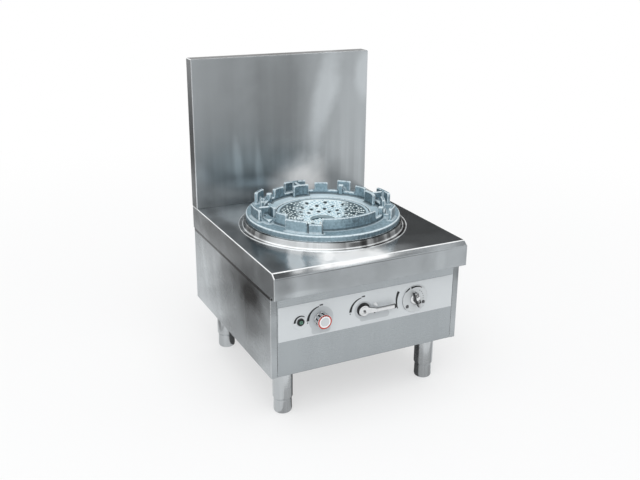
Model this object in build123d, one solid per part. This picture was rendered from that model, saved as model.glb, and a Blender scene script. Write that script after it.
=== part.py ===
from build123d import *
import os
from math import cos, hypot, radians, sin, sqrt

# A low gas range for a stock pot: a stainless cabinet on four adjustable legs,
# a folded deck with a splashback, a blown burner under a cast pot ring,
# and its gas, air and ignition controls along the front.
# Millimetres. X runs to the right, Y to the back and Z up from the floor.

# Deck
deck_width = 600.0
deck_depth = 650.0
deck_height = 460.0
deck_sheet = 2.0
apron_drop = 72.0
bevel_run = 16.0
bevel_drop = 12.0
deck_hole_radius = 205.0
brace_width = 34.0
brace_height = 30.0
brace_wall = 2.0
brace_gap = 24.0

# Cabinet
panel_sheet = 1.5
front_setback = 31.0
side_rear_gap = 3.0
corner_flange = 18.0
panel_flange = 12.0
rear_flange = 15.0
panel_seam = 1.0
panel_lift = 1.5
tray_sheet = 2.0
tray_lip = 16.0
service_recess = 45.0
louvre_count = 5
louvre_length = 150.0
louvre_height = 8.0
louvre_pitch = 22.0
louvre_centre_x = 170.0
louvre_low = 70.0

# Splashback
splash_height = 463.0
splash_depth = 44.0
splash_sheet = 1.5
post_width = 30.0
post_wall = 2.0
post_inset = 100.0
post_short = 20.0
post_plug = 8.0
bolt_radius = 4.0
bolt_head_radius = 7.5
bolt_head = 5.5
bolt_clearance = 0.2
bolt_spread = 16.0

# Legs and feet
leg_height = 147.0
leg_inset_x = 64.5
leg_inset_y = 99.0
leg_radius = 28.5
leg_wall = 1.5
leg_plug = 6.0
leg_taper = 2.0
foot_height = 47.0
foot_radius = 26.3
foot_round = 5.0
foot_bush = 18.0
spindle_radius = 10.0
spindle_length = 64.0
spindle_clearance = 0.3
foot_gap = 0.3
stud_radius = 6.0
stud_length = 22.0
stud_clearance = 0.3
nut_radius = 11.0
nut_height = 9.0

# Collar and pot ring
collar_radius = 252.5
collar_sheet = 1.5
collar_step_radius = 240.5
collar_step_height = 2.2
collar_seat_radius = 235.5
collar_seat_height = 19.0
collar_lip_radius = 199.5
collar_lip_drop = 12.0
ring_radius = 230.5
ring_band = 19.0
ring_edge = 2.5
ring_foot_width = 18.0
ring_thickness = 8.0
ring_mouth_gap = 3.0
ring_mouth_drop = 1.0
inner_wall_radius = 186.0
inner_wall_width = 10.0
inner_wall_height = 12.0
fin_height = 35.5
fin_width = 10.0
outer_fin_radius = 218.0
cap_radius = 169.0
cap_span = 18.5
web_width = 9.0
post_block = 15.0
post_block_drop = 3.0
post_round = 5.0
lug_angle = 189.0
lug_span = 11.0
lug_radius = 203.0
lug_width = 22.0
lug_height = 13.0
lug_round = 4.0
fin_round = 1.6
sill_radius = 214.5
sill_height = 27.0
sill_angle = 237.4
sill_span = 12.5
web_fins = ((1.0, 19.0), (89.0, 20.0), (177.0, 19.0))
post_fins = ((45.0, 12.0), (131.0, 13.0), (223.0, 17.5), (315.0, 13.0))
block_fins = (
    (22.5, 13.0),
    (65.5, 13.5),
    (114.0, 14.0),
    (157.0, 13.0),
    (203.0, 13.5),
    (270.5, 56.0),
    (338.0, 13.0),
)

# Burner bowl and plenum
bowl_radius = 129.0
bowl_rise = 35.0
bowl_depth = 28.0
bowl_wall = 4.0
bowl_rim = 9.0
bowl_rim_height = 6.0
hole_radius = 5.5
hole_reach = 112.0
hole_pitch = 16.0
hole_rings = 4
holes_per_ring = 12
hole_keepout = 16.0
bowl_well_radius = 37.5
bowl_well_depth = 8.0
bowl_lip_height = 1.5
plenum_radius = 112.0
plenum_rim_inset = 0.5
plenum_wall = 3.0
plenum_height = 234.0
plenum_collar = 49.0
plenum_flare = 45.0
spigot_share = 0.85
stand_radius = 74.0
stand_width = 18.0
stand_plate = 5.0
stand_legs = 4

# Controls on the front panel, by share of its half width and by drop from the deck
label_margin = 2.0
label_top_drop = 108.0
label_height = 101.0
label_sheet = 0.6
control_drop = 163.0
button_drop = 160.5
dial_drop = 160.0
button_share = -0.706
knob_share = -0.501
lever_share = -0.068
dial_share = 0.495

# Ignition button
bezel_radius = 10.6
bezel_height = 3.0
bezel_edge = 1.0
barrel_radius = 8.0
barrel_length = 24.0
button_radius = 6.0
button_clearance = 0.3
button_stand = 2.4
button_length = 21.0
button_floor = 4.0
barrel_clearance = 0.2
button_nut_radius = 12.7
button_nut_height = 5.0

# Pilot regulator
knob_radius = 22.0
knob_front_radius = 21.5
knob_height = 22.0
knob_edge = 1.0
knob_gap = 1.6
knob_flute_radius = 2.0
knob_flutes = 24
knob_ring_radius = 20.3
knob_ring_width = 3.6
knob_ring_height = 1.0
knob_cap_radius = 14.0
knob_cap_height = 2.0
pilot_stem_radius = 4.0
pilot_plug_radius = 6.0
pilot_body_radius = 10.0
pilot_port_radius = 5.0
pilot_port_drop = 20.0
stem_clearance = 0.15
stem_grip = 10.0
stem_fit = 0.05

# Main gas lever
hub_radius = 16.0
hub_height = 8.0
hub_edge = 2.0
hub_gap = 3.0
arm_length = 100.0
arm_root = 20.0
arm_width = 13.0
arm_depth = 7.0
arm_lift = 8.0
neck_start = 10.0
neck_end = 36.0
lever_grip = 4.0
lever_screw_radius = 3.8
lever_screw_head = 1.8
lever_screw_shank = 2.0
lever_screw_length = 3.5
valve_stem_radius = 6.0
valve_plug_radius = 10.0
valve_radius = 19.0
valve_length = 70.0
valve_bore = 8.0
bonnet_radius = 13.0
bonnet_flange_radius = 20.0
bonnet_flange = 3.5
bonnet_stand = 1.0
panel_hole_gap = 2.0

# Air dial, damper and duct
dial_radius = 41.5
dial_plate = 2.0
dial_screw_circle = 32.3
dial_screw_angles = (219.0, 333.0)
dial_screw_radius = 5.2
dial_screw_head = 3.0
dial_screw_shank = 2.0
dial_screw_length = 7.0
air_knob_radius = 17.0
air_knob_base = 6.0
air_knob_edge = 1.5
air_knob_gap = 0.6
grip_length = 53.0
grip_width = 12.0
grip_height = 15.0
grip_angle = 110.0
grip_round = 4.8
grip_edge = 2.4
grip_sink = 1.0
shaft_radius = 4.0
bush_radius = 6.4
bush_flange_radius = 10.0
bush_flange = 2.0
bush_tail = 8.0
duct_width = 60.0
duct_height = 50.0
duct_wall = 2.0
duct_flange = 12.0
flange_plate = 3.0
duct_before = 19.0
duct_after = 15.0
duct_boss_radius = 7.0
duct_boss = 6.0
damper_gap = 1.5
damper_sheet = 2.0
damper_hub_radius = 6.0
damper_rest_tilt = 45.0

# Blower
fan_radius = 44.0
fan_gap = 4.0
fan_width = 40.0
fan_blades = 24
fan_blade_depth = 8.0
fan_blade_sheet = 1.6
fan_sheet = 2.0
scroll_step = 5.0
scroll_reach = 56.0
eye_radius = 36.0
motor_radius = 40.0
motor_length = 86.0
motor_shaft_radius = 5.0
motor_bore_depth = 50.0
saddle_width = 60.0
saddle_length = 40.0
saddle_inset = 22.0

# Gas pipes
inlet_offset = -53.0
inlet_radius = 12.5
inlet_bore = 10.0
inlet_bend = 40.0
nipple_radius = 13.2
nipple_length = 30.0
nipple_hex_radius = 19.0
nipple_hex = 12.0
inlet_hole_gap = 0.8
manifold_setback = 44.0
tap_radius = 9.0
tap_stand = 4.8
feed_radius = 11.0
feed_bore = 8.0
feed_x = 62.0
feed_bend = 24.0
injector_radius = 12.0
injector_length = 16.0
nozzle_radius = 7.0
nozzle_length = 16.0
nozzle_bore = 2.0
nozzle_clearance = 0.5
boss_radius = 16.0
boss_reach = 116.0
pilot_tube_radius = 3.0
pilot_tube_drop = 52.0
pilot_tube_bend = 18.0
pilot_reach = 88.0
pilot_angle = 225.0
pilot_burner_radius = 7.0
pilot_burner_stand = 8.0
pilot_tube_gap = 5.0

# Ignition and supply
electrode_offset = 22.0
electrode_radius = 4.5
electrode_tip_radius = 1.5
electrode_stand = 4.0
electrode_tip = 9.0
electrode_tail = 20.0
fitting_clearance = 0.3
module_size = (70.0, 40.0, 60.0)
module_offset = -5.3
module_setback = 144.0
lead_radius = 2.5
lead_bend = 12.0
lead_share = 0.35
button_lead_inset = 5.0
supply_lead_reach = 54.0
terminal_size = (90.0, 28.0, 70.0)
terminal_x = 90.0
terminal_drop = 53.0
gland_x = -110.0
gland_radius = 10.0
gland_bore = 5.0
gland_length = 24.0
gland_nut_radius = 15.0
gland_nut = 7.0
rear_screw_count = 4
rear_screw_radius = 2.0
rear_screw_head_radius = 4.0
rear_screw_head = 2.5
rear_screw_length = 8.0
rear_screw_clearance = 0.2

# Planes and levels worked out from those sizes
half_width = deck_width / 2
deck_front = -deck_depth / 2
deck_rear = deck_depth / 2
deck_under = deck_height - deck_sheet
apron_bottom = deck_height - apron_drop
side_outer = half_width - deck_sheet
side_inner = side_outer - panel_sheet
side_rear = deck_rear - side_rear_gap
panel_front = deck_front + front_setback
panel_back = panel_front + panel_sheet
panel_half_width = side_outer - corner_flange - panel_seam
label_half_width = panel_half_width - label_margin
rear_outer = deck_rear - service_recess
rear_inner = rear_outer - panel_sheet
tray_top = leg_height + tray_sheet
splash_front = deck_rear - splash_depth
splash_top = deck_height + splash_height
post_centre_x = half_width - post_inset
leg_centre_x = half_width - leg_inset_x
button_x = button_share * half_width
knob_x = knob_share * half_width
lever_x = lever_share * half_width
dial_x = dial_share * half_width
control_z = deck_height - control_drop
button_z = deck_height - button_drop
dial_z = deck_height - dial_drop
manifold_y = panel_front + manifold_setback
inlet_x = knob_x + inlet_offset
module_x = button_x + module_offset
module_y = panel_front + module_setback
module_top = tray_top + module_size[2]
collar_seat = deck_height + collar_seat_height
ring_flange = collar_seat + ring_band
ring_mouth = ring_flange - ring_mouth_drop
ring_mouth_radius = bowl_radius + bowl_rim + ring_mouth_gap
fin_top = ring_flange + fin_height
bowl_rim_top = deck_height + bowl_rise
plenum_top = bowl_rim_top - bowl_rim_height
plenum_bottom = plenum_top - plenum_height
plenum_flare_high = plenum_top - plenum_collar
plenum_flare_low = plenum_flare_high - plenum_flare
plenum_top_radius = bowl_radius + bowl_rim - plenum_rim_inset
dish_radius = (bowl_radius**2 + bowl_depth**2) / (2 * bowl_depth)
dish_centre = bowl_rim_top - bowl_depth + dish_radius
pilot_x = pilot_reach * cos(radians(pilot_angle))
pilot_y = pilot_reach * sin(radians(pilot_angle))
electrode_x = pilot_x + electrode_offset * cos(radians(pilot_angle + 90))
electrode_y = pilot_y + electrode_offset * sin(radians(pilot_angle + 90))
duct_start_x = dial_x - duct_before
duct_end_x = dial_x + duct_after
scroll_start = fan_radius + fan_gap
fan_x = duct_end_x + scroll_reach
fan_z = dial_z + duct_height / 2 - scroll_start - 3 * scroll_step
casing_half = duct_width / 2 + duct_wall
terminal_z = control_z - terminal_drop
panel_plane = Plane(origin=(0, panel_front, 0), x_dir=(1, 0, 0), z_dir=(0, -1, 0))
leg_places = {
    "front_left": (-leg_centre_x, deck_front + leg_inset_y),
    "front_right": (leg_centre_x, deck_front + leg_inset_y),
    "rear_left": (-leg_centre_x, deck_rear - leg_inset_y),
    "rear_right": (leg_centre_x, deck_rear - leg_inset_y),
}


# Shapes used by many pieces
def slab(x_span, y_span, z_span):
    middle = [(low + high) / 2 for low, high in (x_span, y_span, z_span)]
    size = [high - low for low, high in (x_span, y_span, z_span)]
    return Pos(*middle) * Box(*size)


def turned(*profile):
    points = [(radius, 0, height) for radius, height in profile]
    return revolve(make_face(Polyline(*points, close=True)), Axis.Z)


def rod_x(radius, x_span, y, z):
    middle = sum(x_span) / 2
    return Pos(middle, y, z) * Rot(0, 90, 0) * Cylinder(radius, x_span[1] - x_span[0])


def rod_y(radius, y_span, x, z):
    middle = sum(y_span) / 2
    return Pos(x, middle, z) * Rot(90, 0, 0) * Cylinder(radius, y_span[1] - y_span[0])


def rod_z(radius, z_span, x, y):
    middle = sum(z_span) / 2
    return Pos(x, y, middle) * Cylinder(radius, z_span[1] - z_span[0])


def hex_z(radius, z_span, x, y):
    face = Plane(origin=(x, y, z_span[0])) * RegularPolygon(radius, 6)
    return extrude(face, z_span[1] - z_span[0])


def hex_y(radius, y_span, x, z):
    face = Plane(origin=(x, y_span[0], z), z_dir=(0, 1, 0)) * RegularPolygon(radius, 6)
    return extrude(face, y_span[1] - y_span[0])


def on_panel(x, z, shape):
    # The shape's own Z points out of the front panel, from the panel's face
    return panel_plane.location * Pos(x, z, 0) * shape


def pipe(points, bend, outer, bore=0):
    path = FilletPolyline(*points, radius=bend)
    section = Circle(outer)
    if bore:
        section = section - Circle(bore)
    return sweep(Plane(origin=path @ 0, z_dir=path % 0) * section, path=path)


def dish_height(reach, radius):
    return dish_centre - sqrt(radius**2 - reach**2)


# Deck, splashback and cabinet
def deck_profile(inset, bottom):
    slope = hypot(bevel_run, bevel_drop)
    low_y = deck_front + inset
    low_z = deck_height - bevel_drop - inset * bevel_run / (slope + bevel_drop)
    high_y = deck_front + bevel_run + inset * bevel_drop / (slope + bevel_run)
    high_z = deck_height - inset
    rear_y = deck_rear - inset
    points = ((low_y, bottom), (low_y, low_z), (high_y, high_z), (rear_y, high_z), (rear_y, bottom))
    return make_face(Polyline(*[(0, y, z) for y, z in points], close=True))


def splash_bolt_places():
    middle = deck_rear - splash_depth / 2
    return [
        (side * post_centre_x, middle + step * bolt_spread / 2)
        for side in (-1, 1)
        for step in (-1, 1)
    ]


def make_deck():
    outer = extrude(deck_profile(0, apron_bottom), half_width, dir=(1, 0, 0), both=True)
    hollow = deck_profile(deck_sheet, apron_bottom - deck_sheet)
    inner = extrude(hollow, half_width - deck_sheet, dir=(1, 0, 0), both=True)
    sheet = (deck_under - deck_sheet, deck_height + deck_sheet)
    holes = [rod_z(deck_hole_radius, sheet, 0, 0)]
    for x, y in splash_bolt_places():
        holes.append(rod_z(bolt_radius + bolt_clearance, sheet, x, y))
    return outer - inner - holes


def make_brace(side):
    outer_x = side_inner - brace_gap
    x_span = sorted((side * outer_x, side * (outer_x - brace_width)))
    y_span = (panel_back + panel_flange + panel_seam, rear_inner - panel_seam)
    z_span = (deck_under - brace_height, deck_under)
    inner_x = (x_span[0] + brace_wall, x_span[1] - brace_wall)
    inner_z = (z_span[0] + brace_wall, z_span[1] - brace_wall)
    return slab(x_span, y_span, z_span) - slab(inner_x, (y_span[0] - 1, y_span[1] + 1), inner_z)


def make_side_panel(side):
    def across(near, far):
        return tuple(sorted((side * near, side * far)))

    wall_z = (leg_height, deck_under)
    sheet = slab(across(side_inner, side_outer), (panel_front, side_rear), wall_z)
    front = slab(across(side_outer - corner_flange, side_outer), (panel_front, panel_back), wall_z)
    rear_span = (side_rear - panel_sheet, side_rear)
    rear = slab(across(side_outer - rear_flange, side_outer), rear_span, wall_z)
    return sheet + front + rear


def front_panel_holes(through):
    return [
        on_panel(button_x, button_z, Cylinder(barrel_radius + barrel_clearance, through)),
        on_panel(knob_x, control_z, Cylinder(pilot_body_radius + panel_hole_gap, through)),
        on_panel(lever_x, control_z, Cylinder(bonnet_radius + panel_hole_gap, through)),
        on_panel(dial_x, dial_z, Cylinder(bush_radius + barrel_clearance, through)),
    ] + [
        on_panel(dial_x + x, dial_z + z, Cylinder(dial_screw_shank + barrel_clearance, through))
        for x, z in dial_screw_offsets()
    ]


def dial_screw_offsets():
    return [
        (dial_screw_circle * cos(radians(angle)), dial_screw_circle * sin(radians(angle)))
        for angle in dial_screw_angles
    ]


def make_front_panel():
    x_span = (-panel_half_width, panel_half_width)
    face = slab(x_span, (panel_front, panel_back), (leg_height + panel_lift, deck_under))
    top = slab(x_span, (panel_front, panel_back + panel_flange), (deck_under - panel_sheet, deck_under))
    return face + top - front_panel_holes(6 * panel_sheet)


def make_control_label():
    top = deck_height - label_top_drop
    y_span = (panel_front - label_sheet, panel_front)
    strip = slab((-label_half_width, label_half_width), y_span, (top - label_height, top))
    return strip - front_panel_holes(6 * panel_sheet)


def make_rear_panel():
    y_span = (rear_inner, rear_outer)
    sheet = slab((-side_inner, side_inner), y_span, (tray_top, deck_under))
    through = (rear_inner - panel_sheet, rear_outer + panel_sheet)
    cuts = [
        rod_y(inlet_radius + inlet_hole_gap, through, inlet_x, control_z),
        rod_y(gland_radius + fitting_clearance, through, gland_x, terminal_z),
    ]
    for row in range(louvre_count):
        low = tray_top + louvre_low + row * louvre_pitch
        x_span = (louvre_centre_x - louvre_length / 2, louvre_centre_x + louvre_length / 2)
        cuts.append(slab(x_span, through, (low, low + louvre_height)))
    for x, z in rear_screw_places():
        cuts.append(rod_y(rear_screw_radius + rear_screw_clearance, through, x, z))
    return sheet - cuts


def rear_screw_places():
    pitch = 2 * side_inner / rear_screw_count
    first = pitch / 2 - side_inner
    return [(first + step * pitch, tray_top + tray_lip / 2) for step in range(rear_screw_count)]


def make_bottom_tray():
    outer_y = (panel_back, rear_inner)
    outer = slab((-side_inner, side_inner), outer_y, (leg_height, tray_top + tray_lip))
    inner_x = (-side_inner + tray_sheet, side_inner - tray_sheet)
    inner_y = (outer_y[0] + tray_sheet, outer_y[1] - tray_sheet)
    hollow = slab(inner_x, inner_y, (tray_top, tray_top + 2 * tray_lip))
    floor = (leg_height - tray_sheet, tray_top + tray_sheet)
    cuts = [rod_z(stud_radius + stud_clearance, floor, x, y) for x, y in leg_places.values()]
    lip = (rear_inner - 2 * tray_sheet, rear_inner + tray_sheet)
    for x, z in rear_screw_places():
        cuts.append(rod_y(rear_screw_radius + rear_screw_clearance, lip, x, z))
    return outer - hollow - cuts


def make_rear_panel_screws():
    screws = []
    for x, z in rear_screw_places():
        head = rod_y(rear_screw_head_radius, (rear_outer, rear_outer + rear_screw_head), x, z)
        shank = rod_y(rear_screw_radius, (rear_outer - rear_screw_length, rear_outer), x, z)
        screws.append(head + shank)
    return Compound(children=screws)


def make_splashback_skin():
    outer = slab((-half_width, half_width), (splash_front, deck_rear), (deck_height, splash_top))
    inner_x = (-half_width + splash_sheet, half_width - splash_sheet)
    inner_y = (splash_front + splash_sheet, deck_rear + splash_sheet)
    return outer - slab(inner_x, inner_y, (deck_height - splash_sheet, splash_top - splash_sheet))


def make_splashback_cover():
    x_span = (-half_width + splash_sheet, half_width - splash_sheet)
    y_span = (deck_rear - splash_sheet, deck_rear)
    return slab(x_span, y_span, (deck_height, splash_top - splash_sheet))


def make_splashback_post(side):
    middle = side * post_centre_x
    y_span = (splash_front + splash_sheet, deck_rear - splash_sheet)
    top = splash_top - splash_sheet - post_short
    outer = slab((middle - post_width / 2, middle + post_width / 2), y_span, (deck_height, top))
    inner_x = (middle - post_width / 2 + post_wall, middle + post_width / 2 - post_wall)
    inner_y = (y_span[0] + post_wall, y_span[1] - post_wall)
    hollow = slab(inner_x, inner_y, (deck_height + post_plug, top + post_wall))
    plug = (deck_height - post_plug, deck_height + 2 * post_plug)
    holes = [
        rod_z(bolt_radius + bolt_clearance, plug, x, y)
        for x, y in splash_bolt_places()
        if x * side > 0
    ]
    return outer - hollow - holes


def make_splashback_bolts():
    bolts = []
    for x, y in splash_bolt_places():
        head = hex_z(bolt_head_radius, (deck_under - bolt_head, deck_under), x, y)
        shank = rod_z(bolt_radius, (deck_under - bolt_head / 2, deck_height + post_plug), x, y)
        bolts.append(head + shank)
    return Compound(children=bolts)


# Legs
def make_leg(x, y):
    inner = leg_radius - leg_wall
    tube = turned(
        (0, leg_height),
        (leg_radius, leg_height),
        (leg_radius, foot_height + leg_taper),
        (leg_radius - leg_taper, foot_height),
        (spindle_radius + spindle_clearance, foot_height),
        (spindle_radius + spindle_clearance, foot_height + foot_bush),
        (inner, foot_height + foot_bush),
        (inner, leg_height - leg_plug),
        (0, leg_height - leg_plug),
    )
    stud = rod_z(stud_radius, (leg_height - leg_plug / 2, leg_height + stud_length), 0, 0)
    return Pos(x, y, 0) * (tube + stud)


def make_foot(x, y):
    top = foot_height - foot_gap
    foot = turned(
        (0, 0),
        (foot_radius - foot_round, 0),
        (foot_radius, foot_round),
        (foot_radius, top),
        (spindle_radius, top),
        (spindle_radius, top + spindle_length),
        (0, top + spindle_length),
    )
    return Pos(x, y, 0) * foot


def make_leg_nuts():
    nuts = []
    for x, y in leg_places.values():
        nut = hex_z(nut_radius, (tray_top, tray_top + nut_height), x, y)
        bore = rod_z(stud_radius + stud_clearance, (tray_top - 1, tray_top + 2 * nut_height), x, y)
        nuts.append(nut - bore)
    return Compound(children=nuts)


# Burner
def make_collar():
    sheet = collar_sheet
    lip = collar_lip_radius - sheet
    base = deck_height
    return turned(
        (collar_radius, base),
        (collar_radius, base + sheet),
        (collar_step_radius, base + collar_step_height),
        (collar_seat_radius, collar_seat),
        (lip, collar_seat),
        (lip, base - collar_lip_drop),
        (collar_lip_radius, base - collar_lip_drop),
        (collar_lip_radius, collar_seat - sheet),
        (collar_seat_radius - sheet, collar_seat - sheet),
        (collar_step_radius - sheet, base + collar_step_height - sheet),
        (collar_radius - 2 * sheet, base),
    )


def arc_wall(outer, width, azimuth, span, bottom, top):
    corners = ((outer - width, bottom), (outer, bottom), (outer, top), (outer - width, top))
    face = make_face(Polyline(*[(radius, 0, z) for radius, z in corners], close=True))
    wall = Rot(0, 0, azimuth - span / 2) * revolve(face, Axis.Z, span)
    wall = fillet(wall.edges().filter_by(Axis.Z), fin_round)
    return fillet(wall.edges().group_by(Axis.Z)[-1], fin_round / 2)


def radial_wall(inner, outer, width, azimuth, bottom, top):
    return Rot(0, 0, azimuth) * slab((inner, outer), (-width / 2, width / 2), (bottom, top))


def make_ring_base():
    foot = ring_radius - ring_foot_width
    wall_inner = inner_wall_radius - inner_wall_width
    return turned(
        (ring_radius, collar_seat),
        (ring_radius, ring_flange - ring_edge),
        (ring_radius - ring_edge, ring_flange),
        (inner_wall_radius, ring_flange),
        (inner_wall_radius, ring_flange + inner_wall_height),
        (wall_inner, ring_flange + inner_wall_height),
        (wall_inner, ring_flange),
        (ring_mouth_radius, ring_mouth),
        (ring_mouth_radius, ring_mouth - ring_thickness),
        (wall_inner, ring_flange - ring_thickness),
        (foot, ring_flange - ring_thickness),
        (foot, collar_seat),
    )


def make_ring_lug(bottom):
    top = ring_flange + lug_height
    corners = (
        (lug_radius - lug_width, 0, bottom),
        (lug_radius, 0, bottom),
        (lug_radius, 0, top),
        (lug_radius - lug_width, 0, top),
    )
    lug = revolve(make_face(Polyline(*corners, close=True)), Axis.Z, lug_span)
    lug = fillet(lug.edges().filter_by(Axis.Z), lug_round)
    lug = fillet(lug.edges().group_by(Axis.Z)[-1], lug_round)
    return Rot(0, 0, lug_angle - lug_span / 2) * lug


def make_pot_ring():
    sink = ring_flange - ring_thickness / 2
    outer_inner = outer_fin_radius - fin_width
    pieces = []
    for azimuth, span in web_fins:
        pieces.append(arc_wall(outer_fin_radius, fin_width, azimuth, span, sink, fin_top))
        pieces.append(arc_wall(cap_radius, fin_width, azimuth, cap_span, sink - ring_thickness / 2, fin_top))
        web = (cap_radius - fin_width / 2, outer_fin_radius - fin_width / 2)
        pieces.append(radial_wall(*web, web_width, azimuth, sink, fin_top - fin_round / 2))
    for azimuth, span in post_fins:
        pieces.append(arc_wall(outer_fin_radius, fin_width, azimuth, span, sink, fin_top))
        post = (inner_wall_radius - post_block, inner_wall_radius)
        block = radial_wall(*post, post_block, azimuth, sink, fin_top - post_block_drop)
        pieces.append(fillet(block.edges().filter_by(Axis.Z), post_round))
        low = (inner_wall_radius - inner_wall_width / 2, outer_inner + fin_width / 2)
        pieces.append(radial_wall(*low, web_width, azimuth, sink, ring_flange + inner_wall_height))
    for azimuth, span in block_fins:
        pieces.append(arc_wall(inner_wall_radius, inner_wall_width, azimuth, span, sink, fin_top))
    sill_top = ring_flange + sill_height
    pieces.append(arc_wall(sill_radius, fin_width, sill_angle, sill_span, sink, sill_top))
    pieces.append(make_ring_lug(sink))
    return make_ring_base() + pieces


def bowl_hole_places():
    places = [(0, 0)]
    for ring in range(hole_rings):
        reach = hole_reach - hole_pitch * ring
        for step in range(holes_per_ring):
            angle = (step + ring % 2 / 2) * 360 / holes_per_ring
            x = reach * cos(radians(angle))
            y = reach * sin(radians(angle))
            near_pilot = hypot(x - pilot_x, y - pilot_y) < hole_keepout
            near_electrode = hypot(x - electrode_x, y - electrode_y) < hole_keepout
            if not near_pilot and not near_electrode:
                places.append((reach, angle))
    return places


def diamond_hole(reach, angle, depth):
    # A square hole with one corner towards the middle of the bowl
    face = Plane(origin=(reach, 0, depth[0])) * RegularPolygon(hole_radius, 4)
    return Rot(0, 0, angle) * extrude(face, depth[1] - depth[0])


def make_burner_bowl():
    rim = bowl_radius + bowl_rim
    floor = bowl_rim_top - bowl_depth
    under_radius = dish_radius + bowl_wall
    under_reach = sqrt(under_radius**2 - (dish_centre - plenum_top) ** 2)
    half_in = bowl_radius / 2
    half_out = under_reach / 2
    inside = ThreePointArc(
        (0, 0, floor),
        (half_in, 0, dish_height(half_in, dish_radius)),
        (bowl_radius, 0, bowl_rim_top),
    )
    rim_line = Polyline(
        (bowl_radius, 0, bowl_rim_top),
        (rim, 0, bowl_rim_top),
        (rim, 0, plenum_top),
        (under_reach, 0, plenum_top),
    )
    outside = ThreePointArc(
        (under_reach, 0, plenum_top),
        (half_out, 0, dish_height(half_out, under_radius)),
        (0, 0, floor - bowl_wall),
    )
    axis_line = Line((0, 0, floor - bowl_wall), (0, 0, floor))
    dish = revolve(make_face([inside, rim_line, outside, axis_line]), Axis.Z)
    lip_radius = bowl_well_radius + bowl_wall
    lip_top = dish_height(lip_radius, dish_radius) + bowl_lip_height
    well_floor = floor - bowl_well_depth
    dish += rod_z(lip_radius, (well_floor - bowl_wall, lip_top), 0, 0)
    dish -= rod_z(bowl_well_radius, (well_floor, bowl_rim_top), 0, 0)
    depth = (well_floor - 2 * bowl_wall, bowl_rim_top)
    cuts = [diamond_hole(*place, depth) for place in bowl_hole_places()]
    cuts.append(rod_z(pilot_burner_radius + fitting_clearance, depth, pilot_x, pilot_y))
    cuts.append(rod_z(electrode_radius + fitting_clearance, depth, electrode_x, electrode_y))
    return dish - cuts


def make_burner_plenum():
    wall = plenum_wall
    can = turned(
        (0, plenum_bottom),
        (plenum_radius, plenum_bottom),
        (plenum_radius, plenum_flare_low),
        (plenum_top_radius, plenum_flare_high),
        (plenum_top_radius, plenum_top),
        (plenum_top_radius - wall, plenum_top),
        (plenum_top_radius - wall, plenum_flare_high),
        (plenum_radius - wall, plenum_flare_low),
        (plenum_radius - wall, plenum_bottom + wall),
        (0, plenum_bottom + wall),
    )
    spigot_start = plenum_radius * spigot_share
    can += duct_box((spigot_start, duct_start_x), duct_wall) + flange_box(duct_start_x - flange_plate)
    can += rod_y(boss_radius, (-boss_reach, -plenum_boss_root()), feed_x, control_z)
    room = rod_z(plenum_radius - wall, (plenum_bottom + wall, plenum_flare_low), 0, 0)
    cuts = [room, duct_box((spigot_start - wall, duct_start_x + wall), 0)]
    cuts.append(rod_y(nozzle_radius + nozzle_clearance, (-boss_reach - 1, 0), feed_x, control_z))
    floor = (plenum_bottom - wall, plenum_bottom + 2 * wall)
    cuts.append(rod_z(pilot_burner_radius + fitting_clearance, floor, pilot_x, pilot_y))
    cuts.append(rod_z(electrode_radius + fitting_clearance, floor, electrode_x, electrode_y))
    return can - cuts


def plenum_boss_root():
    return sqrt((plenum_radius - plenum_wall) ** 2 - feed_x**2) - boss_radius


def make_burner_stand():
    ring_z = (plenum_bottom - stand_plate, plenum_bottom)
    stand = rod_z(stand_radius, ring_z, 0, 0) - rod_z(stand_radius - stand_width, ring_z, 0, 0)
    middle = stand_radius - stand_width / 2
    reach = (middle - stand_width / 2, middle + stand_width / 2)
    for step in range(stand_legs):
        angle = step * 360 / stand_legs
        leg = radial_wall(*reach, stand_width, angle, tray_top, plenum_bottom - stand_plate / 2)
        stand += leg & rod_z(stand_radius, (tray_top, plenum_bottom), 0, 0)
    return stand


# Air duct, damper and blower
def duct_box(x_span, wall):
    half_y = duct_width / 2 + wall
    half_z = duct_height / 2 + wall
    return slab(x_span, (-half_y, half_y), (dial_z - half_z, dial_z + half_z))


def flange_box(start):
    plate = duct_box((start, start + flange_plate), duct_wall + duct_flange)
    return plate - duct_box((start - 1, start + flange_plate + 1), 0)


def make_air_duct():
    walls = duct_box((duct_start_x, duct_end_x), duct_wall)
    walls += flange_box(duct_start_x) + flange_box(duct_end_x - flange_plate)
    boss_half = casing_half + duct_boss
    walls += rod_y(duct_boss_radius, (-boss_half, boss_half), dial_x, dial_z)
    walls -= duct_box((duct_start_x - 1, duct_end_x + 1), 0)
    return walls - rod_y(shaft_radius + stem_clearance, (-boss_half - 1, boss_half + 1), dial_x, dial_z)


def make_damper_plate():
    half_y = duct_width / 2 - damper_gap
    half_z = duct_height / 2 - damper_gap
    plate = slab((-damper_sheet / 2, damper_sheet / 2), (-half_y, half_y), (-half_z, half_z))
    hub = rod_y(damper_hub_radius, (-half_y, half_y), 0, 0)
    bore = rod_y(shaft_radius + stem_fit, (-half_y - 1, half_y + 1), 0, 0)
    return Pos(dial_x, 0, dial_z) * Rot(0, damper_rest_tilt, 0) * (plate + hub - bore)


def make_damper_shaft():
    front = panel_front - label_sheet - dial_plate - air_knob_gap - stem_grip
    return rod_y(shaft_radius, (front, casing_half + duct_boss), dial_x, dial_z)


def scroll_point(centre, radius, angle):
    x = centre[0] + radius * cos(radians(angle))
    return (x, 0, centre[1] + radius * sin(radians(angle)))


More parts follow.
